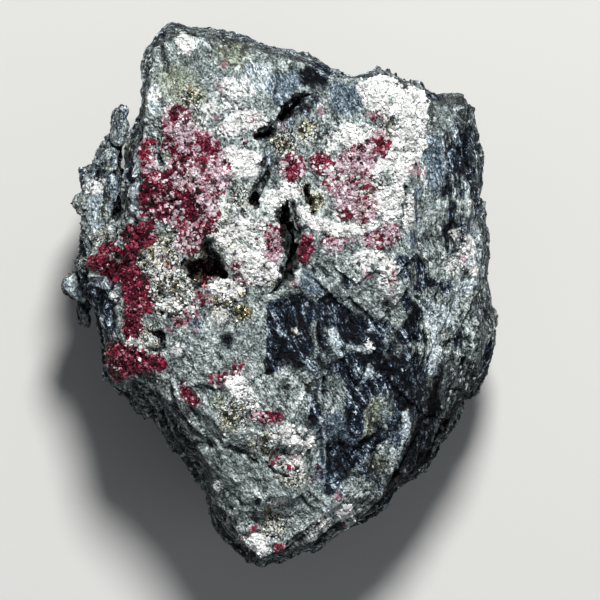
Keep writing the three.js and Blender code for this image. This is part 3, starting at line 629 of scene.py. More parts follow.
# %% Outlines of pale sheets
PALE_PATCHES = {
    "fan": [
        (20.5, -0.6), (22.2, -1), (23.4, -1.8), (24.8, -1.6), (25.7, -3), (25.9, -4.4), (24.6, -5.3),
        (24, -4.4), (22.8, -3.3), (21.4, -2.4),
    ],
    "fan_column": [
        (21.5, -2.6), (23.2, -3.2), (24, -5.4), (24, -8), (23.8, -9.6), (23.1, -11.8), (22.3, -12.8),
        (21.8, -11.6), (22.2, -9), (22.5, -7.2), (22.2, -5.2),
    ],
    "silk_bridge": [
        (25.9, 0.8), (27.6, 1.7), (29.2, 2.7), (29.2, 1.6), (27.6, 0.2), (26.8, -1), (26.3, -3.6),
        (25.8, -2.4), (25.6, -0.6),
    ],
    "bright_streak": [(7.3, -5.2), (8.3, -5), (8.9, -6.6), (9.6, -9.9), (8.6, -9.4), (7.6, -7.8)],
    "slab_step": [
        (10, -7.4), (12, -7.7), (13.8, -8.3), (14.2, -9.1), (13.2, -9), (11.6, -8.4), (10, -8.2),
    ],
    "small_streak": [(13.2, -10.4), (14, -10.8), (13.9, -12.6), (12.8, -13.6), (12.7, -12.6)],
    "ridge_crest": [(5, -4.4), (5.35, -4.4), (5.5, -9), (5.3, -9)],
    "ridge_middle": [(5.75, -12), (6.05, -12), (6.4, -16.6), (6.1, -16.6)],
    "ridge_foot": [(6.5, -21), (6.8, -21), (7, -29), (6.7, -29)],
    "blue_wedge": [(6.6, -29.6), (7.4, -30.6), (8.4, -32.2), (8, -33.4), (6.4, -33), (6.2, -32)],
    "leg_streak": [(18.3, -17.6), (19, -17.8), (19.5, -20.4), (18.6, -22), (17.7, -22.8), (17.9, -20.4)],
    "splinter_face": [
        (-28.8, 15.6), (-27.4, 16.8), (-26.6, 15), (-26.9, 11.4), (-26.4, 8.6), (-28.4, 8.2), (-28.6, 12),
    ],
    "rim_strip": [
        (-22.2, 22.6), (-21.4, 22.8), (-21, 20), (-20.9, 16), (-20.8, 12), (-22.6, 11.6), (-22.4, 16),
    ],
    "flake_face": [(-32.2, 1.4), (-31, 2.6), (-29.4, -0.4), (-28.8, -2.4), (-30.4, -1.2)],
    "flank_face": [(-28.6, 2), (-27.4, 2.6), (-25.6, 2.4), (-25, 0.6), (-26.8, 0.6)],
    "under_spot": [(-19.6, 31), (-17.8, 30.8), (-18, 27.6), (-19.4, 26.4)],
    "upper_slope": [(-5, 34.6), (-1.2, 33.8), (-1.6, 30.6), (-4.4, 29), (-6, 31)],
    "low_spur": [(-3.4, -38.6), (-1.4, -38.4), (-1.4, -39.4), (-2.8, -40.6), (-4.6, -40)],
    "right_silk": [
        (28, 8.6), (28.4, 11.4), (30.2, 11.8), (30.6, 8), (30.8, 4.6), (30.9, 1), (29.6, 2.6), (28.4, 2.8),
        (27.6, 3.6), (28, 6),
    ],
}
print("pale patches:", len(PALE_PATCHES))

# %% [markdown]
# Between the patches of slate the schist is thin, so the dark shows through it in streaks. `DUSK`
# marks that ground, and `GREY_PIECES` are the whole flakes of schist still lying on it. The last
# outline is the low ground on the right, which is painted nearly black as a whole, as painted shade.

# %% Outlines of dusky ground and of painted shade
DUSK = {
    "lower_right": [
        (-2.2, -1.4), (-0.6, -0.9), (3, 0.3), (5.6, 0), (8.4, 0.3), (12, -1.4), (15.4, -3.6), (19, -8),
        (22, -9), (24.6, -12), (24.6, -16), (23.4, -22), (21.4, -28), (16.2, -32.4), (13.6, -29),
        (8.4, -31), (6.4, -30.4), (5.8, -24), (3.8, -19.8), (4.6, -12.6), (-1.6, -12.4),
    ],
    "right_edge": [(17, 6), (21, 6.4), (22.6, 3), (25.6, 2.4), (25.4, -1), (20, 0.8), (17.4, 1.6)],
    "right_top": [(24.6, 24), (27.6, 29.6), (29.6, 27.4), (30.4, 22), (30, 14), (24.4, 14)],
    "right_side": [(26, 13), (28, 11), (27.2, 6), (24.6, 6.6), (24.2, 10)],
    "crevice_side": [
        (-3.6, 24.2), (-1.4, 25.8), (0.6, 28.4), (3.4, 30), (5, 29.2), (4.6, 26.6), (1.6, 24.6), (1.4, 21),
        (-0.4, 17.6), (-2.6, 18.4), (-2.2, 21.6),
    ],
    "crevice_top": [(3, 33.2), (5, 35), (8, 32.6), (7, 28.6), (5.4, 28), (4, 30.4)],
    "splinter": [
        (-30, 15.4), (-26.2, 23.4), (-25, 29.4), (-21.8, 29), (-23, 17), (-23.4, 12.6), (-26.4, 13),
    ],
    "left_flake": [(-32.4, 1), (-30.4, 4.6), (-27.4, 2.4), (-24.4, 1), (-23.8, -6.6), (-30.4, -5.6)],
}
GREY_PIECES = {
    "olive_flake": [
        (12.6, -14.8), (14.8, -15.2), (15.4, -17), (15, -20), (13.8, -22.4), (12.7, -21.6), (12.3, -18.4),
    ],
    "brown_flake": [(14.4, -22.2), (15.6, -21.6), (17.4, -23.4), (16.8, -25.8), (15, -27), (14.2, -25)],
    "low_flake": [(10.4, -28), (12.8, -27.6), (14, -28.6), (13, -30.4), (11.2, -31.4), (9.4, -30.6)],
    "left_flake": [(6.6, -11.8), (8.2, -12.2), (9.9, -14.4), (10.1, -17.6), (8.8, -18.8), (7, -17.6)],
    "right_fin": [(22.9, -13.2), (24.4, -13.4), (24.2, -19.6), (23.4, -20.2), (23, -16.4)],
    "right_fin_low": [(21.2, -24), (22.8, -23.6), (22.6, -27), (21.4, -27.4)],
    "left_step": [(0.8, -10.8), (3.9, -11.2), (4.4, -13.8), (0.4, -13.6)],
}
# Painted shade: the low ground on the right is darkened as a whole.
LOW_RIGHT_SHADE = {
    "lower_right": [
        (21, -15), (24.6, -9), (27, -9.6), (31.6, -12), (31.4, -15), (28, -20), (23, -26), (17, -33),
        (12.6, -35), (15, -31), (16.4, -26.6), (19, -22),
    ],
}
print("dusky patches:", len(DUSK), "and flakes on them:", len(GREY_PIECES))

# %% [markdown]
# The light hardly reaches into the cleft and the hollow by the pyrite nest, which are `DEEP`. The
# red hollow, the crevice, the notch above it and the wall of the cleft are a little less dark, and
# are `GLOOM`. `HOLLOW_DEPTHS` says how many millimetres each is sunk below the CAD block's own skin.

# %% Outlines of the hollows
DEEP = {
    "cleft": [
        (0.4, 13.9), (1.5, 13.2), (1.8, 11), (1.9, 8.9), (2.5, 7.4), (2.5, 5.2), (2.1, 3.3), (1.3, 1.8),
        (-0.3, 1), (-0.6, 2), (0, 3.5), (0.4, 5), (1.1, 6.6), (1, 8.2), (0, 9.4), (-0.2, 11), (0.1, 12.6),
    ],
    "nest_hollow": [
        (3.3, 16.4), (4.1, 16), (4.4, 14.5), (5.3, 13), (5.4, 11.8), (4.7, 11.8), (4, 13.2), (3.3, 14.5),
    ],
}
GLOOM = {
    "red_hollow": [
        (-11.6, 7.8), (-10.1, 7.9), (-9, 6.1), (-7.5, 3.4), (-7.7, 2.3), (-8.8, 2.3), (-9.8, 2.9),
        (-10.5, 1.9), (-11.6, 1.2), (-12.6, 0.8), (-12.9, 1.9), (-14.1, 3.3), (-14.2, 4.6), (-13.1, 4.9),
        (-12, 6.1),
    ],
    "cleft_wall": [(1.8, 13.4), (2.9, 12.2), (3.3, 9), (2.7, 7.4), (1.9, 8.6), (1.8, 11)],
    "crevice": [(-0.1, 25.6), (1.8, 26), (1.8, 27.9), (3.9, 29.3), (2.4, 29), (0.8, 27.8), (-0.2, 26.6)],
    "crevice_tail": [(-3.8, 23.8), (-1.2, 24.5), (-0.8, 23.4), (-1.2, 22.5), (-2.4, 22.7), (-3.2, 22.2)],
    "upper_notch": [
        (-2.6, 20.6), (-1.6, 20.4), (-1.9, 17.8), (-3.4, 15.2), (-4.6, 13), (-5.2, 13.6), (-4, 16.4),
        (-2.8, 18.6),
    ],
}
HOLLOW_DEPTHS = {
    "cleft": 2.4, "cleft_wall": 1.0, "crevice": 0.6, "crevice_tail": 0.6, "nest_hollow": 1.4,
    "red_hollow": 1.8, "upper_notch": 0.5,
}
print("deep and gloomy hollows:", len(DEEP) + len(GLOOM))

# %% [markdown]
# Some ground is only tinted or sprinkled, so it needs no outline: each spot is a place and a
# reach. Olive spots are iron stains beside the pyrite. Dust is white calcite beside the crusts, a
# blush is pink specks of cinnabar, and grit is small black and white grains mixed. Calm ground is
# schist that broke smoothly, with little contrast.

# %% Tinted and sprinkled spots
SPOTS = {
    # x, y and reach
    "olive": [
        (-15.5, 31.5, 2.6), (-7, 36, 2.4), (-8.4, -0.6, 1), (-5.4, -2.8, 1.2), (5.2, 13.6, 1.4),
        (0.7, 22.2, 1.3), (3.8, 24.6, 1), (-17, 8, 1.5), (-26.8, 12, 0.8), (-24.9, 3, 0.9),
        (13.6, -18.8, 1.6), (14.2, -16.8, 1.2), (13, -21, 1.1), (-12.6, 29.4, 1.6), (-26, 18.4, 0.8),
        (-8.5, 11.5, 1.2), (-7, 8.6, 0.9), (-1.4, -32.6, 0.9), (14.8, -25.6, 1.2), (-7.4, -19.2, 1.4),
        (-9, -16, 1),
    ],
    "dust": [
        (-15.2, -8.4, 0.9), (-9.6, -13.2, 0.8), (-1.4, -18.6, 0.9), (-3.4, -21.8, 1), (1.6, -22, 0.9),
        (0.4, -31.4, 0.8), (6, -34.4, 0.8), (-9, -28.6, 0.7), (16.6, -0.8, 1), (26.2, 8.6, 0.8),
        (-10.5, 27.6, 1.2), (-10.8, 23.6, 1), (7.6, 22.4, 1.2), (-0.7, -31.8, 0.9), (-22.6, -13, 0.9),
        (-11.6, 25.6, 0.8), (-7.4, 30, 1.8), (-5, 30.4, 1.5), (-6.6, 26.6, 1.8), (-18.6, 29.6, 1.3),
        (-15.4, 24.2, 1.4), (-9.5, 9, 1), (-17.4, 3.6, 1.6), (-16.6, -1.4, 1.3), (-18.6, 5.4, 1.4),
        (-3.4, 3.6, 1.8), (-6, -12.6, 1.4), (-9, -3.2, 1.2), (2, -25.2, 1.4), (12.4, 4.4, 1.8),
        (15.6, 1.6, 1.2), (9.6, 11.6, 1.6), (19.4, 28.6, 1.6), (20.6, 24, 1.4), (-21, -3.8, 0.9),
        (-15.6, 12.4, 1), (-13, 17.6, 1), (26, 4, 1.2), (-2.8, -37.4, 1.2), (9.6, -33.4, 1),
        (6.6, -33.8, 0.8), (-13.2, -2.2, 1), (13.4, -8, 0.7), (2.6, -5.8, 0.6), (-22.6, 21, 0.9),
        (-27.8, 16, 1.4), (-8.2, 24.4, 1.2), (11.6, 17.4, 1.2), (1.2, 15.8, 1.4), (4.6, -36, 0.8),
        (-24.6, -0.6, 0.6), (19.4, 10, 1), (-5.2, -15, 1.3), (-3.9, -16.5, 1),
    ],
    "calm": [
        (-14.5, 32.5, 5), (-5.5, 33, 4.5), (9.5, 29, 2.5), (-10, -25, 4.5), (-4, -28, 3), (-4.5, -7, 2.6),
        (23, 13, 2.4), (23.6, 26.6, 2.4), (12.6, 1, 2.6), (2.6, -30.6, 2.6), (-2, -32.4, 2.6),
        (5.6, -32, 1.8), (-1, -29, 2.4),
    ],
    "blush": [
        (-6.6, 3.9, 0.8), (-5.6, 1.9, 0.8), (-12, -1.2, 0.8), (-16.4, 3.3, 0.9), (-17.3, 5.1, 0.8),
        (29.6, 2.2, 0.7), (17, 1.9, 0.8), (16.9, 0.6, 0.6), (14.6, 26.7, 0.9), (12, 21.4, 0.8),
        (-8.4, 34, 0.6), (-8.8, 30.8, 0.7), (-4, 26.2, 0.9), (-9.6, 26, 0.7), (13.4, 3.2, 1), (17, 2, 0.7),
        (20.2, 18.4, 1.2), (27.3, 5.2, 0.8), (30.4, 1.4, 0.7), (-12.6, -2, 0.8), (-10.6, -1, 0.7),
        (-15.2, -3.8, 0.9), (-5.8, 2, 1), (-6.6, 4.2, 0.9), (8.6, 17, 1.3), (11, 20.4, 1), (9, -30.6, 0.9),
        (2.2, -24.6, 0.9), (-4.2, -35, 0.7), (2, 1.4, 0.7), (-16.6, 4, 0.9), (-12.8, -5.6, 0.5),
        (6.2, 27.4, 0.8), (-25, 5, 1), (13.6, 26.6, 0.7), (-9.6, 16.8, 0.9), (10.4, 8, 0.8),
        (0.6, 25, 0.7), (-11, 0.4, 0.8), (-11.4, -1.4, 0.9), (-12.9, -2.9, 0.9), (-14.4, -4.2, 0.9),
        (-16.2, -5, 0.7), (-9.8, -12.6, 0.8), (-7.8, -12, 0.8), (-6.2, -11.2, 0.8),
    ],
    "grit": [
        (-7, -18.2, 2.2), (-2.4, -22.4, 1.8), (2, -27.2, 1.9), (-16.6, 0, 2.4), (-7.6, 8, 2),
        (-8, -1.6, 2.4), (0.8, 22.4, 2), (4.2, 24, 1.8), (-1.4, 2.4, 1.6), (-18.6, 5, 2),
        (-0.6, -34.4, 1.8), (13.8, 8.8, 1.8), (12.6, 13.6, 2.4), (16.4, 24.4, 1.8), (-26.4, 8.4, 1.4),
        (-11.4, 4, 3), (2.4, 15.6, 1.6), (-13.4, 28.6, 2.2), (-5.6, 14.4, 1.8), (-19, -6.6, 2),
    ],
}
print("spots:", {ground: len(spots) for ground, spots in SPOTS.items()})

# %% [markdown]
# The crusts have spots too. `ISLANDS` are bits of bare rock in the red crusts, and `WHITE_GAPS`
# are thin places in the white ones. `WHITE_VEINS` are lines of calcite between red clumps.
# `RICH_SPOTS` are the clumps where the cinnabar is purest, with hardly any pale grains in it.

# %% Spots in the crusts
# x, y and reach
ISLANDS = [
    (-14.7, 23.9, 1.3), (-16.8, 19.9, 0.9), (-14, 16.7, 1.3), (-9.2, 16.4, 0.8), (-10, 19.9, 0.6),
    (-10.4, 18.2, 0.6), (-10.9, 15.4, 0.7), (-19.2, 21, 0.8), (-12.6, 25, 0.8), (-18.6, 9.4, 0.7),
    (-20.4, -2.4, 0.5), (-24.6, 5, 0.7), (9, 16.8, 0.9), (12.6, 15.6, 0.9), (7.6, 13.6, 0.8),
    (14.6, 16.8, 0.8), (11, 10.4, 0.7),
]
WHITE_GAPS = [
    (-9, 9.8, 1.5), (-6.6, 12.8, 1.6), (-4, 14, 1.4), (-16.5, 4.2, 1.6), (-1.9, -37.2, 1.2),
    (-2.6, 9.8, 0.8), (3.4, 23.4, 1.5), (5.6, 27, 1.4), (9.6, 30, 0.9), (16.6, 25.6, 0.9),
    (12.4, 25.2, 0.8), (4.4, 9.6, 0.8), (-12.6, -0.4, 1), (4.8, -27.8, 0.8), (-5, 4.6, 0.8),
]
WHITE_VEINS = [
    (-10, 20, 0.7), (-10.3, 18.4, 0.7), (-10.7, 16.8, 0.6), (-11.1, 15.3, 0.8), (-14.9, 24.3, 0.8),
    (-8.6, 13.4, 0.7), (-9, 11.6, 0.7), (-15, 11.2, 0.6), (-12.6, 9.2, 0.5), (-13.6, 18.6, 0.5),
]
RICH_SPOTS = [
    (-14, 20.9, 1.4), (-10, 21, 1.3), (-13.4, 12.2, 2), (-19.4, 15.4, 1.6), (-11.6, 9.4, 1.4),
    (-16.8, 12.6, 1.5), (-9, 14.6, 0.9), (-15.4, 27, 1), (5.6, 19.6, 0.8), (17, 21.6, 1), (15.6, 8.6, 1.2),
]
print("islands:", len(ISLANDS), "and gaps:", len(WHITE_GAPS))

# %% [markdown]
# An outline or a spot becomes a mask: a number from 0 to 1 at each point of the skin. The points
# are shifted by noise before they are compared with an outline, so its straight stretches wander
# as real borders do. Thin outlines would break up, so theirs wander less. The masks could be
# painted by hand as well, but an outline in millimetres is easy to read and to change.

# %% Masks from outlines and spots
def inside(outline, x, y):
    """1 for each point inside the outline, and 0 outside it."""
    found = np.zeros(len(x), bool)
    for (ax, ay), (bx, by) in zip(outline, outline[1:] + outline[:1]):
        if ay == by:
            continue
        crosses = (ay > y) != (by > y)
        found ^= crosses & (x < (bx - ax) * (y - ay) / (by - ay) + ax)
    return found.astype(float)


def patch_mask(patches, x, y):
    return np.clip(sum(inside(outline, x, y) for outline in patches.values()), 0, 1)


def spot_mask(spots, x, y):
    """Soft round spots: 1 in the middle, a half at the reach, and 0 far away."""
    total = np.zeros(len(x))
    for cx, cy, reach in spots:
        total = np.maximum(total, np.exp2(-((x - cx) ** 2 + (y - cy) ** 2) / reach**2))
    return total


WANDER = [(0.75, 2.6, (4, 5)), (0.35, 1.0, (6, 7))]  # mm sideways, mm from swell to swell, seeds
HARDLY = 0.35  # the share of that by which thin outlines wander
FRONT_LEVEL = 13.0  # outlines drawn on the face don't reach the flanks below this height

x, y, z = skin.T
wander = sum(far * np.stack([soft_noise(skin / apart, seed) for seed in seeds])
             for far, apart, seeds in WANDER)
wandered = (x + wander[0], y + wander[1])
hardly_wandered = (x + HARDLY * wander[0], y + HARDLY * wander[1])
on_front = np.clip((outwards[:, 2] + 0.25) / 0.3, 0, 1) * np.clip((z - FRONT_LEVEL) / 3, 0, 1)
facing_up = evened(np.clip((outwards[:, 2] - 0.08) / 0.25, 0, 1), 4) * on_front
print("share of the skin on the front:", round(float(on_front.mean()), 2))

# %% Zones of the rock
BORDER_ROUNDS = 7
zones = {
    "slate": evened(patch_mask(SLATE_PATCHES, *wandered) * on_front, BORDER_ROUNDS),
    "blue": evened(patch_mask(BLUE_PATCHES, *wandered) * facing_up, BORDER_ROUNDS + 4),
    "pale": evened(patch_mask(PALE_PATCHES, *hardly_wandered) * facing_up, 2),
    "deep": evened(patch_mask(DEEP, *wandered) * on_front, 3),
    "gloom": evened(patch_mask(GLOOM, *wandered) * on_front, 4),
    "smoky": evened(patch_mask(LOW_RIGHT_SHADE, *wandered), 30) * facing_up,
    "dusk": evened(patch_mask(DUSK, *wandered) * on_front, 6),
}
zones["dusk"] *= 1 - 0.7 * evened(patch_mask(GREY_PIECES, *wandered), 3)
for ground, spots in SPOTS.items():
    zones[ground] = spot_mask(spots, x, y) * facing_up
# The broad slab broke off along a straight edge on its left, so that side stays sharp.
sharp_side = evened(inside(SLATE_PATCHES["broad_slab"], x, y) * (x < 1.0) * on_front, 1)
zones["slate"] = np.maximum(zones["slate"], sharp_side)
for zone_name, mask in zones.items():
    print(zone_name, "covers", round(float((mask > 0.5).mean()) * 100, 1), "% of the skin")

# %% [markdown]
# ## Which crust covers which part of the rock
#
# Each CAD crust lies 0.3 mm over the rock. So a point of the rock is under a crust if the nearest
# point of any crust is hardly farther off than that gap. A search tree over all the crusts'
# triangles finds that point quickly.

# %% Find the rock under each crust
SEAT_GAP = 0.3
UNDER_LIMIT = 1.4 * SEAT_GAP


def one_tree(names):
    """One search tree over several CAD nodes, and the node that each of its triangles belongs to."""
    points, triangles, owners = [], [], []
    for index, name in enumerate(names):
        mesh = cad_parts[name].data
        mesh.calc_loop_triangles()
        start = len(points)
        points += [vertex.co / MM for vertex in mesh.vertices]
        triangles += [[start + k for k in tri.vertices] for tri in mesh.loop_triangles]
        owners += [index] * len(mesh.loop_triangles)
    return BVHTree.FromPolygons(points, triangles), owners


crust_tree, crust_owner = one_tree(CRUST_NAMES)


def nearest_crust(limit):
    """The number of the crust nearest to each point of the skin, or -1 if none is near enough."""
    owner = np.full(len(skin), -1)
    for index, spot in enumerate(skin):
        if spot[2] < FRONT_LEVEL:
            continue
        triangle = crust_tree.find_nearest(spot, limit)[2]
        if triangle is not None:
            owner[index] = crust_owner[triangle]
    return owner


owner = nearest_crust(UNDER_LIMIT)
print("points under a crust:", int((owner >= 0).sum()))

# %% [markdown]
# The rock under a crust is stained by it: red under cinnabar, white under calcite. Most crusts
# stain it by their own kind. Four of the red ones are so mixed with calcite that they stain it
# pink, and the loose calcite field on the left leaves grit. Grey streaks run through the white
# crusts, down to the right.

# %% Stains under the crusts
OWN_STAINS = {"cinnabar_cleft_left": "pink", "cinnabar_pink_patch": "pink", "cinnabar_pink_bloom": "pink",
              "cinnabar_right_spray": "pink", "calcite_left_field": "grit"}
STREAK_SIZE = (3.4, 1.1, 2.2)  # mm along the lean, across it, and down

stain_of = np.array([OWN_STAINS.get(name, name.split("_")[0]) for name in CRUST_NAMES])
owner_stain = np.where(owner >= 0, stain_of[owner], "")
island = spot_mask(ISLANDS, *wandered)
white_gap = np.clip(spot_mask(WHITE_GAPS, *wandered) * 1.2, 0, 1)
leaning = np.stack([0.5 * x - 0.87 * y, 0.87 * x + 0.5 * y, z], 1)
grey_streak = np.clip(3 * (-layered_noise(leaning / STREAK_SIZE, 140) - 0.30), 0, 1)
share_left = {"cinnabar": 1 - 0.9 * np.clip(island * 1.3, 0, 1),
              "calcite": 1 - 0.7 * np.maximum(white_gap, grey_streak)}
share_left["pink"] = share_left["cinnabar"]
for stain in ("cinnabar", "pink", "calcite", "pyrite", "grit"):
    mask = evened((owner_stain == stain).astype(float), BORDER_ROUNDS) * share_left.get(stain, 1)
    zones[stain] = np.maximum(mask, zones.get(stain, 0))
    print(stain, "covers", int((owner_stain == stain).sum()), "points")

# %% Veins, mixed crusts and islands
white_vein = spot_mask(WHITE_VEINS, *wandered) * on_front
zones["dust"] = np.maximum(zones["dust"], np.clip(white_vein * 1.5, 0, 1))
under_upper = (owner == CRUST_NAMES.index("cinnabar_upper_crust")).astype(float)
rich = spot_mask(RICH_SPOTS, *wandered)
blend = np.clip(0.60 + 1.5 * layered_noise(skin / 2.4, 130) - 0.7 * rich, 0, 1)
zones["pink"] = np.maximum(zones["pink"], evened(under_upper, 3) * blend)
zones["grit"] = np.maximum(zones["grit"], 0.8 * island * (owner >= 0))
print("mean share of pink in the upper crust:", round(float(blend[under_upper > 0].mean()), 2))

# %% [markdown]
# ## Break the rock
#
# The sheets of this rock lie nearly level, tipped a little to the right. Where a surface cuts
# across them, as all the sides do, their edges show as ledges and streaks. Where it follows them,
# it breaks in steps. So the height above the sheets, `rise`, drives most of the shape.
# Cutting the block along random planes would give sharper breaks, but no ledges.

# %% The direction of the sheets
SHEET_UP = np.array([-0.32, 0.06, 1.0])
SHEET_UP /= np.linalg.norm(SHEET_UP)
WARP = 9.0  # mm, how far apart the swells in the sheets are
WARP_HEIGHT = 0.8

rise = skin @ SHEET_UP + WARP_HEIGHT * soft_noise(skin / WARP, 1)
across_sheets = np.sqrt(np.clip(1 - (outwards @ SHEET_UP) ** 2, 0, 1))
print("mean cut across the sheets:", round(float(across_sheets.mean()), 2))

# %% [markdown]
# Seen from above, the rock's fibres run in three directions: down to the right on the face,
# straight down along the right edge, and down to the left on the splinter. Noise that is measured
# along and across them turns into streaks. The flakes low on the left break into blades, as the
# splinter does.

# %% The direction of the fibres
STREAK_TURNS = {"face": -60, "right": -86, "splinter": -101}  # degrees
SPLINTER_EDGE = (-20.6, 5.0)  # the splinter lies left of this x and above this y
RIGHT_EDGE = 20.0
FLAKE_EDGE = -28.4


def measured_along(degrees):
    turn = np.radians(degrees)
    along = x * np.cos(turn) + y * np.sin(turn)
    return np.stack([along, y * np.cos(turn) - x * np.sin(turn), z], 1)


on_right = x > RIGHT_EDGE
on_splinter = (x < SPLINTER_EDGE[0]) & (y > SPLINTER_EDGE[1])
on_flake = (x < FLAKE_EDGE) & (y <= SPLINTER_EDGE[1])
along_streaks = measured_along(STREAK_TURNS["face"])
along_streaks = np.where(on_right[:, None], measured_along(STREAK_TURNS["right"]), along_streaks)
along_streaks = np.where(on_splinter[:, None], measured_along(STREAK_TURNS["splinter"]), along_streaks)
print("points on the splinter:", int(on_splinter.sum()))

# %% [markdown]
# Hairline cracks and small ledges are drawn as lines, each with its half width and its depth. A
# negative depth is a thin ridge. `RECESSES` are the patches of slate that lie a little lower than
# the schist around them, because the sheet that covered them is gone.

# %% Lines of cracks and ridges
LINES = [
    # half width, depth, points
    (0.5, 0.9, [(-18.4, 28.7), (-17.4, 27.7)]),
    (0.5, 0.8, [(-12.4, -22.2), (-10, -23)]),
    (0.55, 1.0, [(-7.8, -22.9), (-7, -23.1), (-6.2, -24)]),
    (0.5, 0.8, [(-5.6, -23.8), (-4.8, -24.8), (-3.8, -25.2)]),
    (0.45, 0.7, [(-1.9, -25.4), (-0.9, -26.8), (1, -27.4)]),
    (0.5, 0.9, [(-3.6, -35.7), (-2, -36.2), (-0.2, -36.9)]),
    (0.6, 0.9, [(-6.9, -38), (-5.6, -38.7), (-4, -39.4)]),
    (0.45, 0.9, [(6.2, 9.2), (7.1, 8.3)]),
    (0.45, 0.6, [(10.4, -0.8), (12.6, -2.8), (14.6, -5), (15.6, -8.2)]),
    (0.5, 0.8, [(-4.9, 0.6), (-5.4, -1.8), (-5.8, -3.4)]),
    (0.6, 1.1, [(-17.4, 38.6), (-17.6, 36.6), (-17, 34.8), (-16.8, 33.2)]),
    (0.5, 0.7, [(-19, 37.2), (-19, 34.6)]),
    (0.5, 0.9, [(16.6, 26), (16, 24.2), (16.3, 23.2)]),
    (0.4, 0.7, [(20.7, 20), (20.6, 17.4)]),
    (0.4, 0.7, [(-0.6, 33), (-0.3, 31), (-0.7, 29.6), (-0.9, 29), (0.2, 28)]),
    (0.45, 1.1, [(19, 15.8), (18.8, 13.6), (18.9, 11.6)]),
    (0.35, 0.5, [(20.4, -0.4), (21.8, -2.2), (23.4, -3.2)]),
    (0.4, 0.7, [(9.2, -10), (10.4, -12.4), (11.4, -14)]),
    (0.5, 0.7, [(-16.9, -13), (-15.6, -16.8), (-13.2, -20.2), (-10.4, -22.8)]),
    (0.6, 0.9, [(-19.6, -14.6), (-17.6, -17.6), (-14.4, -20.8), (-12.6, -24), (-11.6, -28)]),
    (0.6, 0.9, [(-22, -13.6), (-19.4, -17.4), (-16.6, -21.4), (-13.4, -25.8), (-11.2, -30.4)]),
    (0.5, 0.8, [(-9.4, -31.8), (-8, -34.4), (-6.2, -37.4), (-4.8, -38.6)]),
    (0.5, 0.9, [(-14, -2.2), (-15.2, -3.2), (-16.6, -3.4), (-17.8, -3)]),
    (0.4, 0.7, [(3.2, -30.2), (4, -31.6), (5, -32.8)]),
    (0.6, 1.1, [(28.4, 27), (28.4, 24), (28.3, 20), (28.4, 16), (28.3, 14.4)]),
    (0.4, 0.6, [(20.4, -0.4), (22, -2.2), (23, -4.4), (22.6, -7)]),
    (0.45, 0.7, [(20.6, -21.4), (18.6, -25), (16.2, -29.6)]),
    (0.45, 0.7, [(21.6, -23.6), (18.8, -27.4), (16.4, -31.4)]),
    (0.35, -0.35, [(5.1, -4), (5.4, -9.6)]),
    (0.35, -0.3, [(5.7, -12.4), (6.3, -17.2)]),
    (0.35, -0.35, [(6.5, -20), (6.8, -29.4)]),
    (0.45, 0.45, [(5.9, -4.6), (6, -8)]),
    (0.45, 0.5, [(6.1, -10), (6.7, -15)]),
    (0.5, 0.8, [(-11, 1.6), (-12, 0.2), (-12.8, -2)]),
    (0.9, -0.5, [(-3.2, -30.2), (-2.4, -30.6), (-2.3, -31.6), (-2.9, -32.2)]),
    (0.5, 1.0, [(-3, -30.8), (-3.2, -31.3)]),
]
print("lines:", len(LINES))

# %% Sink the lines, the recesses and the hollows
RECESSES = {
    "broad_slab": 0.35, "middle_slab": 0.12, "slab_tail": 0.2, "lower_slab": 0.7, "right_gash": 0.6,
    "right_middle": 0.5, "right_sliver": 0.7, "right_arc": 0.35, "right_upper_band": 0.6, "gap": 0.9,
    "lower_step": 0.5, "right_wedge": 0.4, "left_flank": 0.4, "small_triangle": 0.4, "top_knot": 0.4,
    "navy_piece": 0.3,
}


def distance_to_line(points, x, y):
    nearest = np.full(len(x), np.inf)
    for (ax, ay), (bx, by) in zip(points, points[1:]):
        length = (bx - ax) ** 2 + (by - ay) ** 2
        share = np.clip(((x - ax) * (bx - ax) + (y - ay) * (by - ay)) / length, 0, 1)
        nearest = np.minimum(nearest, np.hypot(x - ax - share * (bx - ax), y - ay - share * (by - ay)))
    return nearest


lined = np.zeros(len(skin))
for half_width, depth, points in LINES:
    share = np.clip(1 - distance_to_line(points, *hardly_wandered) / half_width, 0, 1)
    lined -= depth * share
lined *= on_front
sunk = np.zeros(len(skin))
for patch, depth in RECESSES.items():
    sunk -= depth * evened(inside(SLATE_PATCHES[patch], *wandered), 4)
for hollow, depth in HOLLOW_DEPTHS.items():
    sunk -= depth * evened(inside({**DEEP, **GLOOM}[hollow], *wandered), 2)
sunk *= on_front
print("deepest point sunk by", round(float(-sunk.min()), 2), "mm")

# %% [markdown]
# Now add it all up, as millimetres along each point's own direction. Schist is the rougher rock,
# with chips from blocks down to single grains. Slate is smooth between its steps. Where the
# surface cuts across the sheets, two sizes of ledges stand out. Each line starts with a height,
# the number under `skin` is a width, both in millimetres, and the last number is a seed.

# %% Chips and ledges
def ledges(thickness, length, seed):
    """Each sheet stands out or back by its own amount, which wanders along it. From -1 to 1."""
    level = np.floor(rise / thickness)
    along = np.stack([skin[:, 0] / length, skin[:, 1] / length, level], 1)
    return soft_noise(along, seed)


covered = evened((owner >= 0).astype(float), BORDER_ROUNDS)
bare_rock = 1 - covered
smooth_rock = np.clip(zones["slate"] + 0.6 * zones["pale"] + 0.6 * zones["blue"], 0, 1)
rough = (1 - 0.65 * smooth_rock) * (1 + 0.5 * zones["grit"]) * (1 - 0.35 * zones["calm"])
shape = 0.42 * chips(skin / 7.5, 30) * (1 - 0.6 * covered)
shape += 0.20 * rough * chips(skin / 3.1, 40)
shape += 0.11 * rough * chips(skin / (1.25, 1.25, 0.9), 50)
shape += 0.07 * rough * soft_noise(skin / 0.55, 60)
stepped = across_sheets**2 * (1 - 0.8 * zones["calm"])
shape += (0.05 + 0.60 * stepped) * ledges(1.5, 7.0, 70)
shape += 0.32 * stepped * ledges(0.62, 4.0, 80)
print("chipped by", round(float(np.abs(shape).mean()), 2), "mm on average")

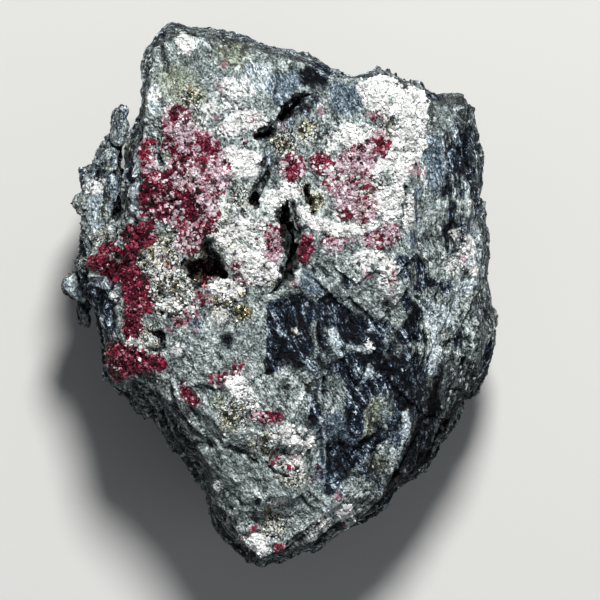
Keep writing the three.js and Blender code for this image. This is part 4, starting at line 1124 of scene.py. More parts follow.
# %% [markdown]
# The walls of the hollows are torn, the splinter and the flakes are bundles of blades, and all
# bare rock is fibrous. Under the crusts the rock swells a little, because crystals have built it
# up there, and has pits between them.

# %% Torn walls, blades, fibres and pits
torn = evened(np.clip(zones["deep"] + zones["gloom"], 0, 1), 5)
shape += 0.5 * torn * chips(skin / 1.2, 36)
blades = (on_splinter | on_flake) * np.clip((z - FRONT_LEVEL) / 6, 0.3, 1)
shape += blades * 0.45 * chips(along_streaks / (4.6, 1.2, 0.9), 31)
shape += blades * 0.16 * chips(along_streaks / (1.8, 0.6, 0.5), 33)
fibrous = 0.16 + 0.22 * (x < SPLINTER_EDGE[0]) + 0.10 * on_right
shape += fibrous * bare_rock * layered_noise(along_streaks / (4.0, 0.75, 1.4), 85)
shape += covered * (0.28 + 0.26 * chips(skin / 1.3, 90) + 0.14 * soft_noise(skin / 0.5, 95))
shape -= covered * 1.3 * np.clip(-soft_noise(skin / 1.0, 97) - 0.30, 0, 0.5)
shape += lined
print("shaped by", round(float(np.abs(shape).mean()), 2), "mm on average")

# %% [markdown]
# The flat back stays flat, and the skin next to it moves less and less, so that nothing goes
# below the floor. Level ground is also drawn towards the middle of its sheet, which gives steps.

# %% Move the skin
FLAT_BACK = 0.02
BACK_FADE = 2.5
STEP_HEIGHT = 1.8
STEP_SHARE = 0.22


def treads(thickness):
    """How far a point is from the middle of its sheet, so that it can be drawn towards it."""
    share = rise / thickness - np.floor(rise / thickness)
    return (0.5 - share) * thickness


fade = np.clip(z / BACK_FADE, 0, 1) * np.where(z < FLAT_BACK, 0, 1)
level = (1 - across_sheets) * STEP_SHARE * bare_rock
moved = skin + outwards * (shape * fade)[:, None]
moved += SHEET_UP * (level * treads(STEP_HEIGHT) * fade)[:, None]
moved[:, 2] += sunk * fade
moved[:, 2] = np.maximum(moved[:, 2], 0)
write_points(rock.data, moved)
print("highest point:", round(float(moved[:, 2].max()), 1), "mm")

# %% [markdown]
# Worn rock is paler on its crests and darker in its hollows, and the paint also adds a painted
# highlight on the crests and painted shade in the hollows. Comparing each point with its neighbours'
# mean tells them apart: a near mean finds small crests and a far one broad ones. Steep ground shows
# the edges of the sheets, and it gets painted shade, less so on the splinter. All the masks are kept
# on the mesh for the shader.

# %% Crests, steep ground and the masks on the mesh
CREST_ROUNDS = 5
BROAD_ROUNDS = 40
normals = read_normals(rock.data)


def standing_out(rounds):
    """How far each point stands out from the mean around it, in millimetres."""
    return ((moved - evened_vectors(moved, rounds)) * normals).sum(1)


zones["crest"] = np.clip(0.5 + standing_out(CREST_ROUNDS) * 2.2, 0, 1)
zones["broad_crest"] = np.clip(0.5 + standing_out(BROAD_ROUNDS) * 0.8, 0, 1)
zones["steep"] = np.clip(1 - evened(outwards[:, 2], 12), 0, 1)
# How much painted shade the steep sides get, less on the splinter.
zones["flank"] = zones["steep"] * (1 - 0.4 * on_splinter)
zones["streaky"] = np.clip((x - RIGHT_EDGE + 1.5) / 2.5, 0, 1) * facing_up


def store(mesh, name, values):
    mesh.attributes.new(name, "FLOAT", "POINT").data.foreach_set("value", values.astype(np.float32))


for zone_name, mask in zones.items():
    store(rock.data, zone_name, mask)
rock.data.polygons.foreach_set("use_smooth", np.zeros(len(rock.data.polygons), bool))
print("triangles on the rock:", 2 * len(rock.data.polygons))

# %% [markdown]
# ## Effects that several materials share
#
# Frayed borders and a salt-and-pepper of small grains turn up in the rock and in its stains, and
# all three crystals have the same kind of flaws. Each effect is a node group, built once. A group
# has named inputs and outputs, and whatever places it sets its own values on it. The border group
# shifts a mask by noise before it cuts it off, so that the border frays.

# %% The "frayed border" group
def new_group(name, inputs, outputs):
    tree = bpy.data.node_groups.new(name, "ShaderNodeTree")
    for key, kind, default in inputs:
        socket = tree.interface.new_socket(key, in_out="INPUT", socket_type=kind)
        if default is not None:
            socket.default_value = default
    for key, kind in outputs:
        tree.interface.new_socket(key, in_out="OUTPUT", socket_type=kind)
    graph = StoneGraph(tree)
    return tree, graph, graph.add("NodeGroupInput").outputs, graph.add("NodeGroupOutput").inputs


FLOAT, VECTOR = "NodeSocketFloat", "NodeSocketVector"
fray_tree, fray, given, made = new_group(
    "frayed border",
    [("Vector", VECTOR, None), ("Mask", FLOAT, 0.5), ("Fray", FLOAT, 0.6), ("Softness", FLOAT, 0.12)],
    [("Mask", FLOAT)],
)
broad_fray = fray.noise(given["Vector"], 0.9, 2.0)
fine_fray = fray.noise(given["Vector"], 3.2, 2.0, 0.7)
fray_sum = fray.plus(fray.times(broad_fray, 0.55), fray.times(fine_fray, 0.45))
shifted = fray.times_plus(fray.minus(fray_sum, 0.5), given["Fray"], given["Mask"])
above = fray.math("DIVIDE", fray.minus(shifted, 0.5), given["Softness"])
fray.feed(made["Mask"], fray.math("ADD", above, 0.5, clamp=True))
print(fray_tree.name, "group:", len(fray_tree.nodes), "nodes")

# %% [markdown]
# The grains are the cells of two Voronoi textures, one about twice as fine as the other. Each
# cell has a random value, and is a little dome in the relief.

# %% The "mineral grains" group
grain_tree, grain, given, made = new_group(
    "mineral grains",
    [("Vector", VECTOR, None), ("Scale", FLOAT, 2.6)],
    [("Value", FLOAT), ("Fine", FLOAT), ("Height", FLOAT)],
)
cells = grain.add("ShaderNodeTexVoronoi", {"Vector": given["Vector"], "Scale": given["Scale"]})
fine_scale = grain.times(given["Scale"], 1.9)
fine_cells = grain.add("ShaderNodeTexVoronoi", {"Vector": given["Vector"], "Scale": fine_scale})
coarse_value = grain.add("ShaderNodeSeparateColor", {"Color": cells.outputs["Color"]}).outputs[0]
fine_value = grain.add("ShaderNodeSeparateColor", {"Color": fine_cells.outputs["Color"]}).outputs[1]
grain.feed(made["Value"], coarse_value)
grain.feed(made["Fine"], fine_value)
domes = grain.minus(1.0, cells.outputs["Distance"])
grain.feed(made["Height"], grain.times_plus(fine_value, 0.6, domes))
print(grain_tree.name, "group:", len(grain_tree.nodes), "nodes")

# %% [markdown]
# A crystal isn't one even colour. Fine flaws shift its tone, and whole clumps of crystals are
# darker or lighter together.

# %% The "crystal flaws" group
flaw_tree, flaw, given, made = new_group(
    "crystal flaws",
    [("Vector", VECTOR, None), ("Tone", FLOAT, 0.5), ("Tint", FLOAT, 0.2)],
    [("Tone", FLOAT), ("Shade", FLOAT), ("Flaws", FLOAT), ("Height", FLOAT)],
)
clumps = flaw.noise(given["Vector"], 0.55, 3.0, 0.6)
flaws = flaw.noise(given["Vector"], 5.0, 3.0, 0.7)
flaw.feed(made["Tone"], flaw.times_plus(flaw.minus(flaws, 0.5), given["Tint"], given["Tone"]))
flaw.feed(made["Shade"], flaw.between(clumps, 0.32, 0.68, 0.45, 1.2))
flaw.feed(made["Flaws"], flaws)
flaw.feed(made["Height"], flaw.times(flaws, 0.05))
print(flaw_tree.name, "group:", len(flaw_tree.nodes), "nodes")

# %% [markdown]
# ## The rock's material
#
# The rock is painted from the bottom up: grey-green schist with its grain, then blue and dark
# slate, then pale silky sheets, stains, calcite dust and the red of the cinnabar. Each layer has
# its mask from the mesh, and noise frays the mask. All of it is fibrous. On the face the fibres
# run down to the right, on the right edge they run straight down, and on the sides they follow
# the sheets. So one vector, `fibres`, measures each place along the fibres and across them, and
# the same noise then gives streaks in the right direction everywhere. A painted image could
# show all this too, but noise stays sharp up close and has no seams.

# %% Fibres
SHEET_TURN = (-0.06, -0.31, 0.0)  # lays the z axis across the sheets
BEND = 5.0  # mm that the fibres wander sideways, over swells about 10 mm wide
rock_material, stone, rock_shader = new_material("schist_and_slate")
place = stone.millimetres()
steep = stone.attribute("steep")
swirl = stone.add("ShaderNodeTexNoise", {"Vector": place, "Scale": 0.1, "Detail": 1.0}).outputs["Color"]
swirl = stone.vector_math("SUBTRACT", swirl, (0.5, 0.5, 0.5))
bent = stone.vector_math("MULTIPLY_ADD", swirl, (BEND, BEND, BEND), place)


def fibre_space(length, width):
    """Places in units of one fibre's length and width."""
    sizes = (length, width, 2.5 * width)
    on_face, on_right_edge, on_the_splinter = (
        stone.laid(bent, sizes, (0.0, 0.0, np.radians(turn))) for turn in STREAK_TURNS.values())
    axes = stone.add("ShaderNodeSeparateXYZ", {"Vector": place}).outputs
    splinter_x, splinter_y = SPLINTER_EDGE
    at_right = stone.between(axes["X"], RIGHT_EDGE - 0.5, RIGHT_EDGE + 0.5)
    at_left = stone.between(axes["X"], splinter_x + 0.3, splinter_x - 0.3)
    at_splinter = stone.times(at_left, stone.between(axes["Y"], splinter_y - 0.3, splinter_y + 0.3))
    on_top = stone.blend_vector(at_right, on_face, on_right_edge)
    on_top = stone.blend_vector(at_splinter, on_top, on_the_splinter)
    side = stone.laid(bent, (length, length, width), SHEET_TURN)
    return stone.blend_vector(stone.between(steep, 0.50, 0.62), on_top, side)


def report():
    print("nodes in the rock's material:", len(stone.tree.nodes))


fibres = fibre_space(1.0, 0.22)
long_fibres = fibre_space(3.4, 0.55)
broad_fibres = fibre_space(7.0, 1.5)
report()

# %% [markdown]
# A few noises and two sets of grains are shared by all the layers, so that the layers look like
# one stone. `tone_of` adds them up to a tone, and a ramp turns the tone into the layer's colours.

# %% Noises and grains of the rock
def grains(space, scale):
    found = stone.group(grain_tree, Vector=space, Scale=scale)
    return found["Value"], found["Fine"], found["Height"]


def frayed(mask, space, fray_by, softness):
    return stone.group(fray_tree, Vector=space, Mask=mask, Fray=fray_by, Softness=softness)["Mask"]


def frayed_zone(zone, space, fray_by, softness):
    """The mask of one of the zones on the mesh, with a frayed border."""
    return frayed(stone.attribute(zone), space, fray_by, softness)


# Crests and broad crests paint the tones below lighter on crests and darker in hollows: painted highlight
# and painted shade, along with wear.
crest = stone.attribute("crest")
broad_crest = stone.attribute("broad_crest")
fine_fibre = stone.noise(fibres, 1.0, 3.0, 0.7, 0.5)
long_fibre = stone.noise(long_fibres, 1.0, 4.0, 0.7, 0.6)
fibre = stone.times_plus(fine_fibre, 0.5, stone.times(long_fibre, 0.5))
broad_fibre = stone.noise(broad_fibres, 1.0, 3.0, 0.6, 0.3)
patchy = stone.noise(place, 0.16, 4.0, 0.6)
mottle = stone.noise(place, 0.8, 4.0, 0.7)
sugar = stone.noise(place, 3.4, 3.0, 0.75)
grain_value, fleck, grain_height = grains(fibre_space(0.52, 0.36), 1.0)
grit_value, grit_fleck, grit_height = grains(place, 2.4)
report()

# %% [markdown]
# Schist comes first and covers everything. On the right it is drawn out into thin light and dark
# streaks, the dusky ground is darker, and calm ground has less contrast. Olive stains only tint it.

# %% Schist
SCHIST_TONES = [(0.0, 0.018, 0.022, 0.024), (0.25, 0.088, 0.106, 0.108), (0.50, 0.208, 0.248, 0.248),
                (0.75, 0.345, 0.40, 0.40), (1.0, 0.58, 0.63, 0.61)]
OLIVE = colour(0.98, 0.92, 0.66)
streaky = stone.attribute("streaky")
thin_streaks = stone.times(streaky, stone.noise(fibre_space(7.0, 0.42), 1.0, 3.0, 0.7, 0.3))
thin_streaks = stone.times_plus(streaky, -0.5, thin_streaks)
dusk = stone.attribute("dusk")
schist_middle = stone.plus(stone.times(dusk, -0.17), 0.50)
# The crest terms add a painted highlight on crests and painted shade in hollows.
schist_tone = stone.tone_of(schist_middle, (mottle, 1.5), (patchy, 0.8), (fibre, 1.5), (sugar, 1.9),
                            (crest, 0.6), (broad_crest, 0.5), (broad_fibre, 1.0))
schist_tone = stone.times_plus(thin_streaks, 2.2, schist_tone)
spread = stone.times_plus(stone.attribute("calm"), -0.45, 1.0)
schist_tone = stone.times_plus(stone.minus(schist_tone, 0.5), spread, 0.5)
rock_colour = stone.ramp(schist_tone, SCHIST_TONES)
olive_mask = frayed_zone("olive", place, 0.9, 0.5)
rock_colour = stone.mix(stone.times(olive_mask, 0.7), rock_colour, stone.tinted(rock_colour, OLIVE))
report()

# %% [markdown]
# The sides cut across many sheets, so they show more of the dark ones, as stripes.

# %% Dark flanks, with painted shade
STRIPE_DARK = colour(0.010, 0.012, 0.015)
# The steep sides are multiplied by this grey as painted shade.
FLANK_SHADE = colour(0.56, 0.57, 0.58)
flank_shade_mask = stone.between(stone.attribute("flank"), 0.26, 0.56)
stripe_mask = stone.between(stone.tone_of(0.5, (fibre, 2.0), (broad_fibre, 1.4)), 0.36, 0.66)
shaded_flank_colour = stone.tinted(stone.mix(stripe_mask, STRIPE_DARK, rock_colour), FLANK_SHADE)
rock_colour = stone.mix(stone.times(flank_shade_mask, 0.9), rock_colour, shaded_flank_colour)
report()

# %% [markdown]
# Slate is nearly black, with blue-grey streaks along its fibres that are a painted sheen, for where
# the light grazes its sheets. It fills its own patches, half shows through the dusky ground, and
# comes up in broad bands on the sides. Blue sheets are the thin ones between slate and schist, and
# pale silky ones lie on top of both.

# %% Blue sheets, dark slate and pale silky sheets
BLUE_TONES = [(0.10, 0.012, 0.019, 0.032), (0.45, 0.075, 0.110, 0.150), (0.75, 0.24, 0.31, 0.37),
              (1.0, 0.52, 0.60, 0.65)]
# The light upper stops of the slate ramp are a painted sheen.
SLATE_TONES = [(0.20, 0.0006, 0.001, 0.003), (0.46, 0.004, 0.008, 0.017), (0.60, 0.024, 0.040, 0.064),
               (0.74, 0.13, 0.175, 0.225), (0.92, 0.50, 0.57, 0.62)]
PALE_TONES = [(0.10, 0.05, 0.07, 0.09), (0.45, 0.33, 0.40, 0.44), (0.85, 0.72, 0.79, 0.82)]

blue_mask = frayed_zone("blue", fibres, 1.5, 0.4)
# The crest term adds a painted highlight on crests and painted shade in hollows.
blue_tone = stone.tone_of(0.48, (fibre, 2.6), (sugar, 1.2), (mottle, 0.7), (crest, 0.4))
rock_colour = stone.mix(stone.times(blue_mask, 0.9), rock_colour, stone.ramp(blue_tone, BLUE_TONES))

side_slate = stone.between(stone.tone_of(0.5, (broad_fibre, 1.0), (patchy, 0.6)), 0.52, 0.60)
side_slate = stone.times(side_slate, stone.between(steep, 0.55, 0.9))
slate_field = stone.larger(stone.attribute("slate"), side_slate)
slate_field = stone.larger(slate_field, stone.times(dusk, 0.53))
# Slate shows more in the hollows and is lighter on the crests: painted shade and painted highlight.
slate_field = stone.tone_of(slate_field, (fibre, 1.8), (broad_fibre, 1.2), (mottle, 0.5), (crest, -0.25))
slate_field = stone.times_plus(thin_streaks, -1.4, slate_field)
slate_mask = frayed(slate_field, fibres, 0.9, 0.30)
slate_tone = stone.tone_of(0.35, (fibre, 2.5), (sugar, 1.5), (mottle, 1.8), (crest, 0.4),
                           (broad_fibre, 2.0))
rock_colour = stone.mix(slate_mask, rock_colour, stone.ramp(slate_tone, SLATE_TONES))

pale_mask = frayed_zone("pale", long_fibres, 1.0, 0.35)
pale_tone = stone.tone_of(0.52, (fibre, 2.6), (sugar, 1.2), (mottle, 0.6))
rock_colour = stone.mix(stone.times(pale_mask, 0.9), rock_colour, stone.ramp(pale_tone, PALE_TONES))
report()

# %% [markdown]
# The low ground on the right is darkened as a whole, as painted shade. Then the grain goes over all
# of it: each grain is a little lighter or darker, partly its own colour and partly painted light for
# how its facet catches the lamp, and a few flash as painted highlights.

# %% Painted shade on the low right ground, and the grain over everything
LOW_RIGHT_SHADE_TINT = colour(0.13, 0.14, 0.16)
FLASH_HIGHLIGHT = colour(0.70, 0.75, 0.74)
smoky_mask = stone.times(frayed_zone("smoky", long_fibres, 1.2, 0.5), 0.9)
rock_colour = stone.mix(smoky_mask, rock_colour, stone.tinted(rock_colour, LOW_RIGHT_SHADE_TINT))
# Each grain is lighter or darker, partly its own colour and partly painted light for how its facet catches
# the lamp.
grain_tone_and_glint = stone.between(fleck, 0.0, 1.0, 0.20, 1.85)
grain_tone_and_glint = stone.times(grain_tone_and_glint, stone.between(grain_value, 0.0, 1.0, 0.75, 1.25))
rock_colour = stone.tinted(rock_colour, stone.grey(grain_tone_and_glint))
# A few grains are painted near white as glints: painted highlights, kept off the slate.
flash = stone.times(stone.between(grain_value, 0.90, 0.94), stone.between(mottle, 0.44, 0.56))
flash = stone.times(flash, stone.between(slate_mask, 0.0, 0.5, 1.0, 0.1))
rock_colour = stone.mix(stone.times(flash, 0.75), rock_colour, FLASH_HIGHLIGHT)
report()

# %% [markdown]
# What the crystals left on the rock comes next. Grit is black and white grains. Calcite and its
# dust are white, cinnabar is red, and where the two are mixed the rock is pink.

# %% Grit, calcite and dust
BLACK_GRIT = colour(0.012, 0.011, 0.007)
WHITE_GRIT = colour(0.78, 0.79, 0.75)
WHITE_TONES = [(0.0, 0.035, 0.036, 0.030), (0.28, 0.26, 0.28, 0.27), (0.50, 0.74, 0.76, 0.75),
               (0.75, 0.92, 0.93, 0.92)]
grit = stone.attribute("grit")
grit_mask = frayed(grit, place, 1.0, 0.4)
black_mask = stone.times(grit_mask, stone.between(grit_fleck, 0.34, 0.28))
rock_colour = stone.mix(black_mask, rock_colour, BLACK_GRIT)
white_mask = stone.times(grit_mask, stone.between(grit_fleck, 0.76, 0.82))
rock_colour = stone.mix(white_mask, rock_colour, WHITE_GRIT)

calcite_mask = frayed_zone("calcite", place, 1.5, 0.2)
dust_mask = stone.times(frayed_zone("dust", place, 1.6, 0.3), stone.between(grain_value, 0.25, 0.4))
white_tone = stone.tone_of(0.55, (fleck, 0.55), (sugar, 1.3), (mottle, 0.9))
white = stone.ramp(white_tone, WHITE_TONES)
rock_colour = stone.mix(stone.larger(calcite_mask, dust_mask), rock_colour, white)
report()

# %% Red and pink stains
BLUSH = colour(0.38, 0.13, 0.19)
RED_TONES = [(0.0, 0.005, 0.001, 0.002), (0.30, 0.048, 0.002, 0.010), (0.58, 0.22, 0.012, 0.042),
             (0.78, 0.42, 0.18, 0.25), (1.0, 0.80, 0.72, 0.74)]
PINK_TONES = [(0.0, 0.020, 0.005, 0.010), (0.26, 0.17, 0.060, 0.092), (0.50, 0.37, 0.25, 0.30),
              (0.74, 0.66, 0.57, 0.62), (1.0, 0.90, 0.88, 0.89)]
blush_mask = stone.times(frayed_zone("blush", place, 1.4, 0.4), stone.between(grain_value, 0.58, 0.68))
rock_colour = stone.mix(stone.times(blush_mask, 0.8), rock_colour, BLUSH)
cinnabar_mask = frayed_zone("cinnabar", place, 1.6, 0.2)
red_tone = stone.tone_of(0.42, (fleck, 0.55), (sugar, 1.2), (mottle, 1.5))
rock_colour = stone.mix(cinnabar_mask, rock_colour, stone.ramp(red_tone, RED_TONES))
pink_mask = frayed_zone("pink", place, 1.5, 0.25)
pink_tone = stone.tone_of(0.5, (fleck, 0.6), (sugar, 1.2), (mottle, 1.3))
rock_colour = stone.mix(pink_mask, rock_colour, stone.ramp(pink_tone, PINK_TONES))
report()

# %% [markdown]
# The hollows are darkened last, since hardly any light gets in. The brassy grains of pyrite are
# the only metal in the rock, so their mask also drives the shader's metallic value.

# %% Dark hollows and pyrite
HOLLOW_BLACK = colour(0.006, 0.004, 0.004)
BRASS = colour(0.42, 0.36, 0.17)
deep_mask = stone.times(stone.attribute("deep"), 0.93)
gloom_share = stone.between(grain_value, 0.1, 0.5, 0.95, 0.6)
gloom_mask = stone.times(frayed_zone("gloom", place, 1.6, 0.4), gloom_share)
rock_colour = stone.mix(stone.larger(deep_mask, gloom_mask), rock_colour, HOLLOW_BLACK)
pyrite_field = stone.larger(stone.attribute("pyrite"), stone.times(grit, 0.5))
pyrite_mask = stone.times(stone.between(pyrite_field, 0.1, 0.6), stone.between(grit_value, 0.88, 0.91))
rock_colour = stone.mix(pyrite_mask, rock_colour, BRASS)
stone.feed(rock_shader.inputs["Base Color"], rock_colour)
stone.feed(rock_shader.inputs["Metallic"], stone.times(pyrite_mask, 0.8))
report()

# %% [markdown]
# Slate is glossier than schist, and so are pyrite, cinnabar and the grains that flash. The finest
# relief is smaller than the squares of the skin, so it is a bump of the same noises.

# %% The rock's gloss and its finest relief
gloss = stone.between(sugar, 0.3, 0.7, 0.64, 0.88)
gloss = stone.minus(gloss, stone.times(slate_mask, stone.between(fibre, 0.3, 0.7, 0.18, 0.38)))
gloss = stone.minus(gloss, stone.times(flash, 0.3))
gloss = stone.minus(gloss, stone.times(stone.larger(pyrite_mask, cinnabar_mask), 0.35))
stone.feed(rock_shader.inputs["Roughness"], gloss)
rock_shader.inputs["Specular IOR Level"].default_value = 0.14

relief = stone.times(sugar, 0.26)
relief = stone.times_plus(grain_height, 0.15, relief)
relief = stone.times_plus(fibre, stone.between(steep, 0.2, 0.6, 0.14, 0.26), relief)
relief = stone.times_plus(grit_height, stone.times(grit, 0.12), relief)
stone.bump(rock_shader, relief)
rock.data.materials.append(rock_material)
report()

# %% [markdown]
# ## Crystals
#
# Cinnabar and calcite both grow as slanted blocks called rhombs, and pyrite as cubes. In a crust
# they are less than a millimetre wide, and they crowd and cut off each other. A particle system
# could scatter them, but one joined mesh per crust is a real shape that any tool can read. So a
# few solid shapes are made first, then copied at random places on the rock's own triangles.

# %% The shapes of single crystals
CORNERS = list(product((-1.0, 1.0), repeat=3))
DIAGONAL = np.ones(3) / np.sqrt(3)
TIPS = ((1.0, 1.0, 1.0), (-1.0, -1.0, -1.0))


def rhomb(stretch, cut_corners=(), cut=0.4):
    """A cube pulled out along its diagonal, with some corners broken or grown off."""
    points = []
    for corner in CORNERS:
        if corner not in cut_corners:
            points.append(corner)
            continue
        for axis in range(3):
            nearer = list(corner)
            nearer[axis] *= 1 - 2 * cut
            points.append(nearer)
    points = np.array(points)
    points += (stretch - 1) * (points @ DIAGONAL)[:, None] * DIAGONAL
    return hull(points / np.abs(points).max())


SHAPES = {
    "cinnabar": [rhomb(1.25, TIPS, 0.35), rhomb(0.8, TIPS[:1], 0.45), rhomb(1.5), rhomb(0.62, TIPS, 0.3)],
    "calcite": [rhomb(0.72), rhomb(0.72, TIPS[:1], 0.3), rhomb(1.3), rhomb(1.0, ((1.0, -1.0, 1.0),), 0.4)],
    "pyrite": [rhomb(1.0), rhomb(1.0, TIPS[:1], 0.25)],
}
print({kind: [len(triangles) for _, triangles in shapes] for kind, shapes in SHAPES.items()})

# %% Triangles of the skin to grow on
rock.data.calc_loop_triangles()
skin_triangles = read(rock.data.loop_triangles, "vertices", 3, np.int32)
tri_corners = moved[skin_triangles]
tri_cross = np.cross(tri_corners[:, 1] - tri_corners[:, 0], tri_corners[:, 2] - tri_corners[:, 0])
tri_area = np.linalg.norm(tri_cross, axis=1) / 2
tri_normal = tri_cross / np.maximum(2 * tri_area, 1e-9)[:, None]
tri_middle = tri_corners.mean(1)
print("skin in all:", round(float(tri_area.sum()) / 100), "square centimetres")

# %% [markdown]
# A crystal sits with its middle a little above the skin, so that about half of it is sunk in the
# rock. Small crystals far outnumber large ones. Each carries a random `tone`, which the material
# turns into its own shade of the mineral.

# %% Sow crystals over some triangles
SIZES = {"cinnabar": (0.13, 0.60), "calcite": (0.13, 0.54), "pyrite": (0.15, 0.44)}  # mm across
PROUD = 0.06  # how far a crystal's middle is above the skin, as a share of its size
RARENESS = 2.6  # the higher it is, the fewer the large crystals
MOST = 20000  # crystals in one go
FLOOR_GAP = 0.05  # mm, how near to the floor a crystal may come


def sow(random, weights, density, kind):
    """Places for crystals: about `density` to each square millimetre of weighted skin."""
    share = weights * tri_area
    total = share.sum()
    count = min(int(total * density) + 1, MOST)
    chosen = random.choice(len(share), count, p=share / total)
    bary = random.dirichlet((1, 1, 1), count)
    places = (tri_corners[chosen] * bary[:, :, None]).sum(1)
    small, large = SIZES[kind]
    size = small + (large - small) * random.random(count) ** RARENESS
    places += tri_normal[chosen] * (size * PROUD)[:, None]
    return places, size, random.integers(0, len(SHAPES[kind]), count)


print("sizes in mm:", SIZES)

# %% Many crystals in one mesh
def random_turns(random, count):
    """Rotation matrices, every direction as likely as any other."""
    quaternions = random.normal(size=(count, 4))
    a, b, c, d = (quaternions / np.linalg.norm(quaternions, axis=1, keepdims=True)).T
    rows = [[1 - 2 * (c * c + d * d), 2 * (b * c - a * d), 2 * (b * d + a * c)],
            [2 * (b * c + a * d), 1 - 2 * (b * b + d * d), 2 * (c * d - a * b)],
            [2 * (b * d - a * c), 2 * (c * d + a * b), 1 - 2 * (b * b + c * c)]]
    return np.moveaxis(np.array(rows), 2, 0)


def crystal_mesh(random, name, kind, places, size, variant, tone):
    """One mesh of many crystals."""
    all_points, all_triangles, all_tones, start = [], [], [], 0
    for number, (points, triangles) in enumerate(SHAPES[kind]):
        mine = np.flatnonzero(variant == number)
        if not len(mine):
            continue
        stretch = size[mine, None] / 2 * random.uniform(0.75, 1.25, (len(mine), 3))
        local = points[None] * stretch[:, None]
        turned = local @ random_turns(random, len(mine)).transpose(0, 2, 1) + places[mine, None]
        offsets = start + len(points) * np.arange(len(mine))
        all_points.append(turned.reshape(-1, 3))
        all_triangles.append((triangles[None] + offsets[:, None, None]).reshape(-1, 3))
        all_tones.append(np.repeat(tone[mine], len(points)))
        start += len(points) * len(mine)
    points = np.concatenate(all_points)
    points[:, 2] = np.maximum(points[:, 2], FLOOR_GAP)
    mesh = bpy.data.meshes.new(name)
    mesh.from_pydata((points * MM).tolist(), [], np.concatenate(all_triangles).tolist())
    store(mesh, "tone", np.concatenate(all_tones))
    print(name, len(size), "crystals")
    return in_scene(name, mesh)


test_turn = random_turns(np.random.default_rng(0), 1)[0]
print("share of its volume that a turned crystal keeps:", round(float(np.linalg.det(test_turn)), 3))

# %% [markdown]
# ## One piece of crystals for each crust
#
# Each crust reaches a little past its edge, more in some places than in others, because a real
# crust frays out into single crystals. It is thinner in the gaps and bare on the islands and in
# the dark hollows, except for the crust that grows right in the red hollow.

# %% How thickly crystals grow at each point
FRAY_REACH = 1.25  # mm past the crust's edge where the last single crystals are
near_owner = nearest_crust(FRAY_REACH)


def near_any(start):
    """Which points are nearest to a crust whose name starts this way."""
    numbers = [number for number, name in enumerate(CRUST_NAMES) if name.startswith(start)]
    return np.isin(near_owner, numbers)


ragged = 0.5 * soft_noise(skin / 1.3, 101) + 0.5 * soft_noise(skin / 0.5, 102)
near_weight = np.clip((covered - 0.42) / 0.4 + 1.1 * ragged, 0, 1)
thinner = soft_noise(skin / 1.5, 103) + 0.8 * soft_noise(skin / 0.6, 104)
near_weight *= np.clip(0.68 + 1.5 * thinner, 0.04, 1)
left_on_red = 1 - 0.93 * np.clip(island * 1.3, 0, 1)
left_on_white = 1 - 0.85 * np.maximum(white_gap, 0.9 * grey_streak)
near_weight *= np.where(near_any("cinnabar"), left_on_red, left_on_white)
left_in_dark = 1 - np.maximum(zones["deep"], 0.8 * zones["gloom"])
near_weight *= np.where(near_any("cinnabar_hollow"), 1, left_in_dark)
print("points that crystals can grow on:", int(((near_owner >= 0) & (near_weight > 0)).sum()))

# %% [markdown]
# The pink patches are cinnabar mixed with calcite, so there a larger share of the crystals gets a
# pale tone. The other way round, some calcite is dotted with dark grains. Both crowd in some spots
# and are rare in others.

# %% Tones of the crystals
PALE_SHARES = {"cinnabar_upper_crust": 0.56, "cinnabar_cleft_left": 0.78, "cinnabar_pair_left": 0.46,
               "cinnabar_pair_right": 0.40, "cinnabar_low_streak": 0.40, "cinnabar_cleft_right": 0.40,
               "cinnabar_low_spots": 0.30, "cinnabar_left_arc": 0.02, "cinnabar_lower_left": 0.03,
               "cinnabar_pink_patch": 0.985, "cinnabar_pink_bloom": 0.90, "cinnabar_right_spray": 0.50}
DEFAULT_PALE = {"cinnabar": 0.15, "pyrite": 0.0}
PALE_FROM = 0.66  # tones above this are the pale crystals
RED_BELOW = 0.62  # and tones below this the red ones
DARK_SHARES = {"calcite_left_field": 0.40, "calcite_centre_lump": 0.18, "calcite_low_patch": 0.16,
               "stray_calcite": 0.08}
DEFAULT_DARK = 0.04
DARK_BELOW = 0.12  # tones below this are the dark grains


def red_tones(random, places, pale_share):
    """Random tones, paler together in some spots and darker together in others."""
    blotch = soft_noise(places / 1.7, 110) + 0.6 * soft_noise(places / 0.8, 111)
    rich = spot_mask(RICH_SPOTS, places[:, 0], places[:, 1])
    pale = random.random(len(places)) < pale_share * (1 + 1.6 * blotch) * (1 - 0.6 * rich)
    depth = np.clip(random.random(len(places)) + 0.45 * soft_noise(places / 1.2, 112), 0, 1)
    return np.where(pale, PALE_FROM + (1 - PALE_FROM) * depth, RED_BELOW * depth)


def white_tones(random, places, dark_share):
    """Tones of calcite: mostly white, with a few dark grains that crowd in some spots."""
    blotch = soft_noise(places / 1.3, 120)
    dark = random.random(len(places)) < dark_share * (1 + 1.8 * blotch)
    depth = random.random(len(places))
    return np.where(dark, DARK_BELOW * depth, DARK_BELOW + (1 - DARK_BELOW) * depth)


def tones_for(random, name, kind, places):
    if kind == "calcite":
        return white_tones(random, places, DARK_SHARES.get(name, DEFAULT_DARK))
    return red_tones(random, places, PALE_SHARES.get(name, DEFAULT_PALE[kind]))


print("red crusts with a pale share of their own:", len(PALE_SHARES))

# %% Crystals on the crusts
DENSITY = {"cinnabar": 26.0, "calcite": 22.0, "pyrite": 13.0}  # crystals to a square millimetre
OWN_DENSITIES = {"calcite_left_field": 3.4, "cinnabar_pink_patch": 20.0, "cinnabar_pink_bloom": 14.0}
CRUST_SEED = 1000

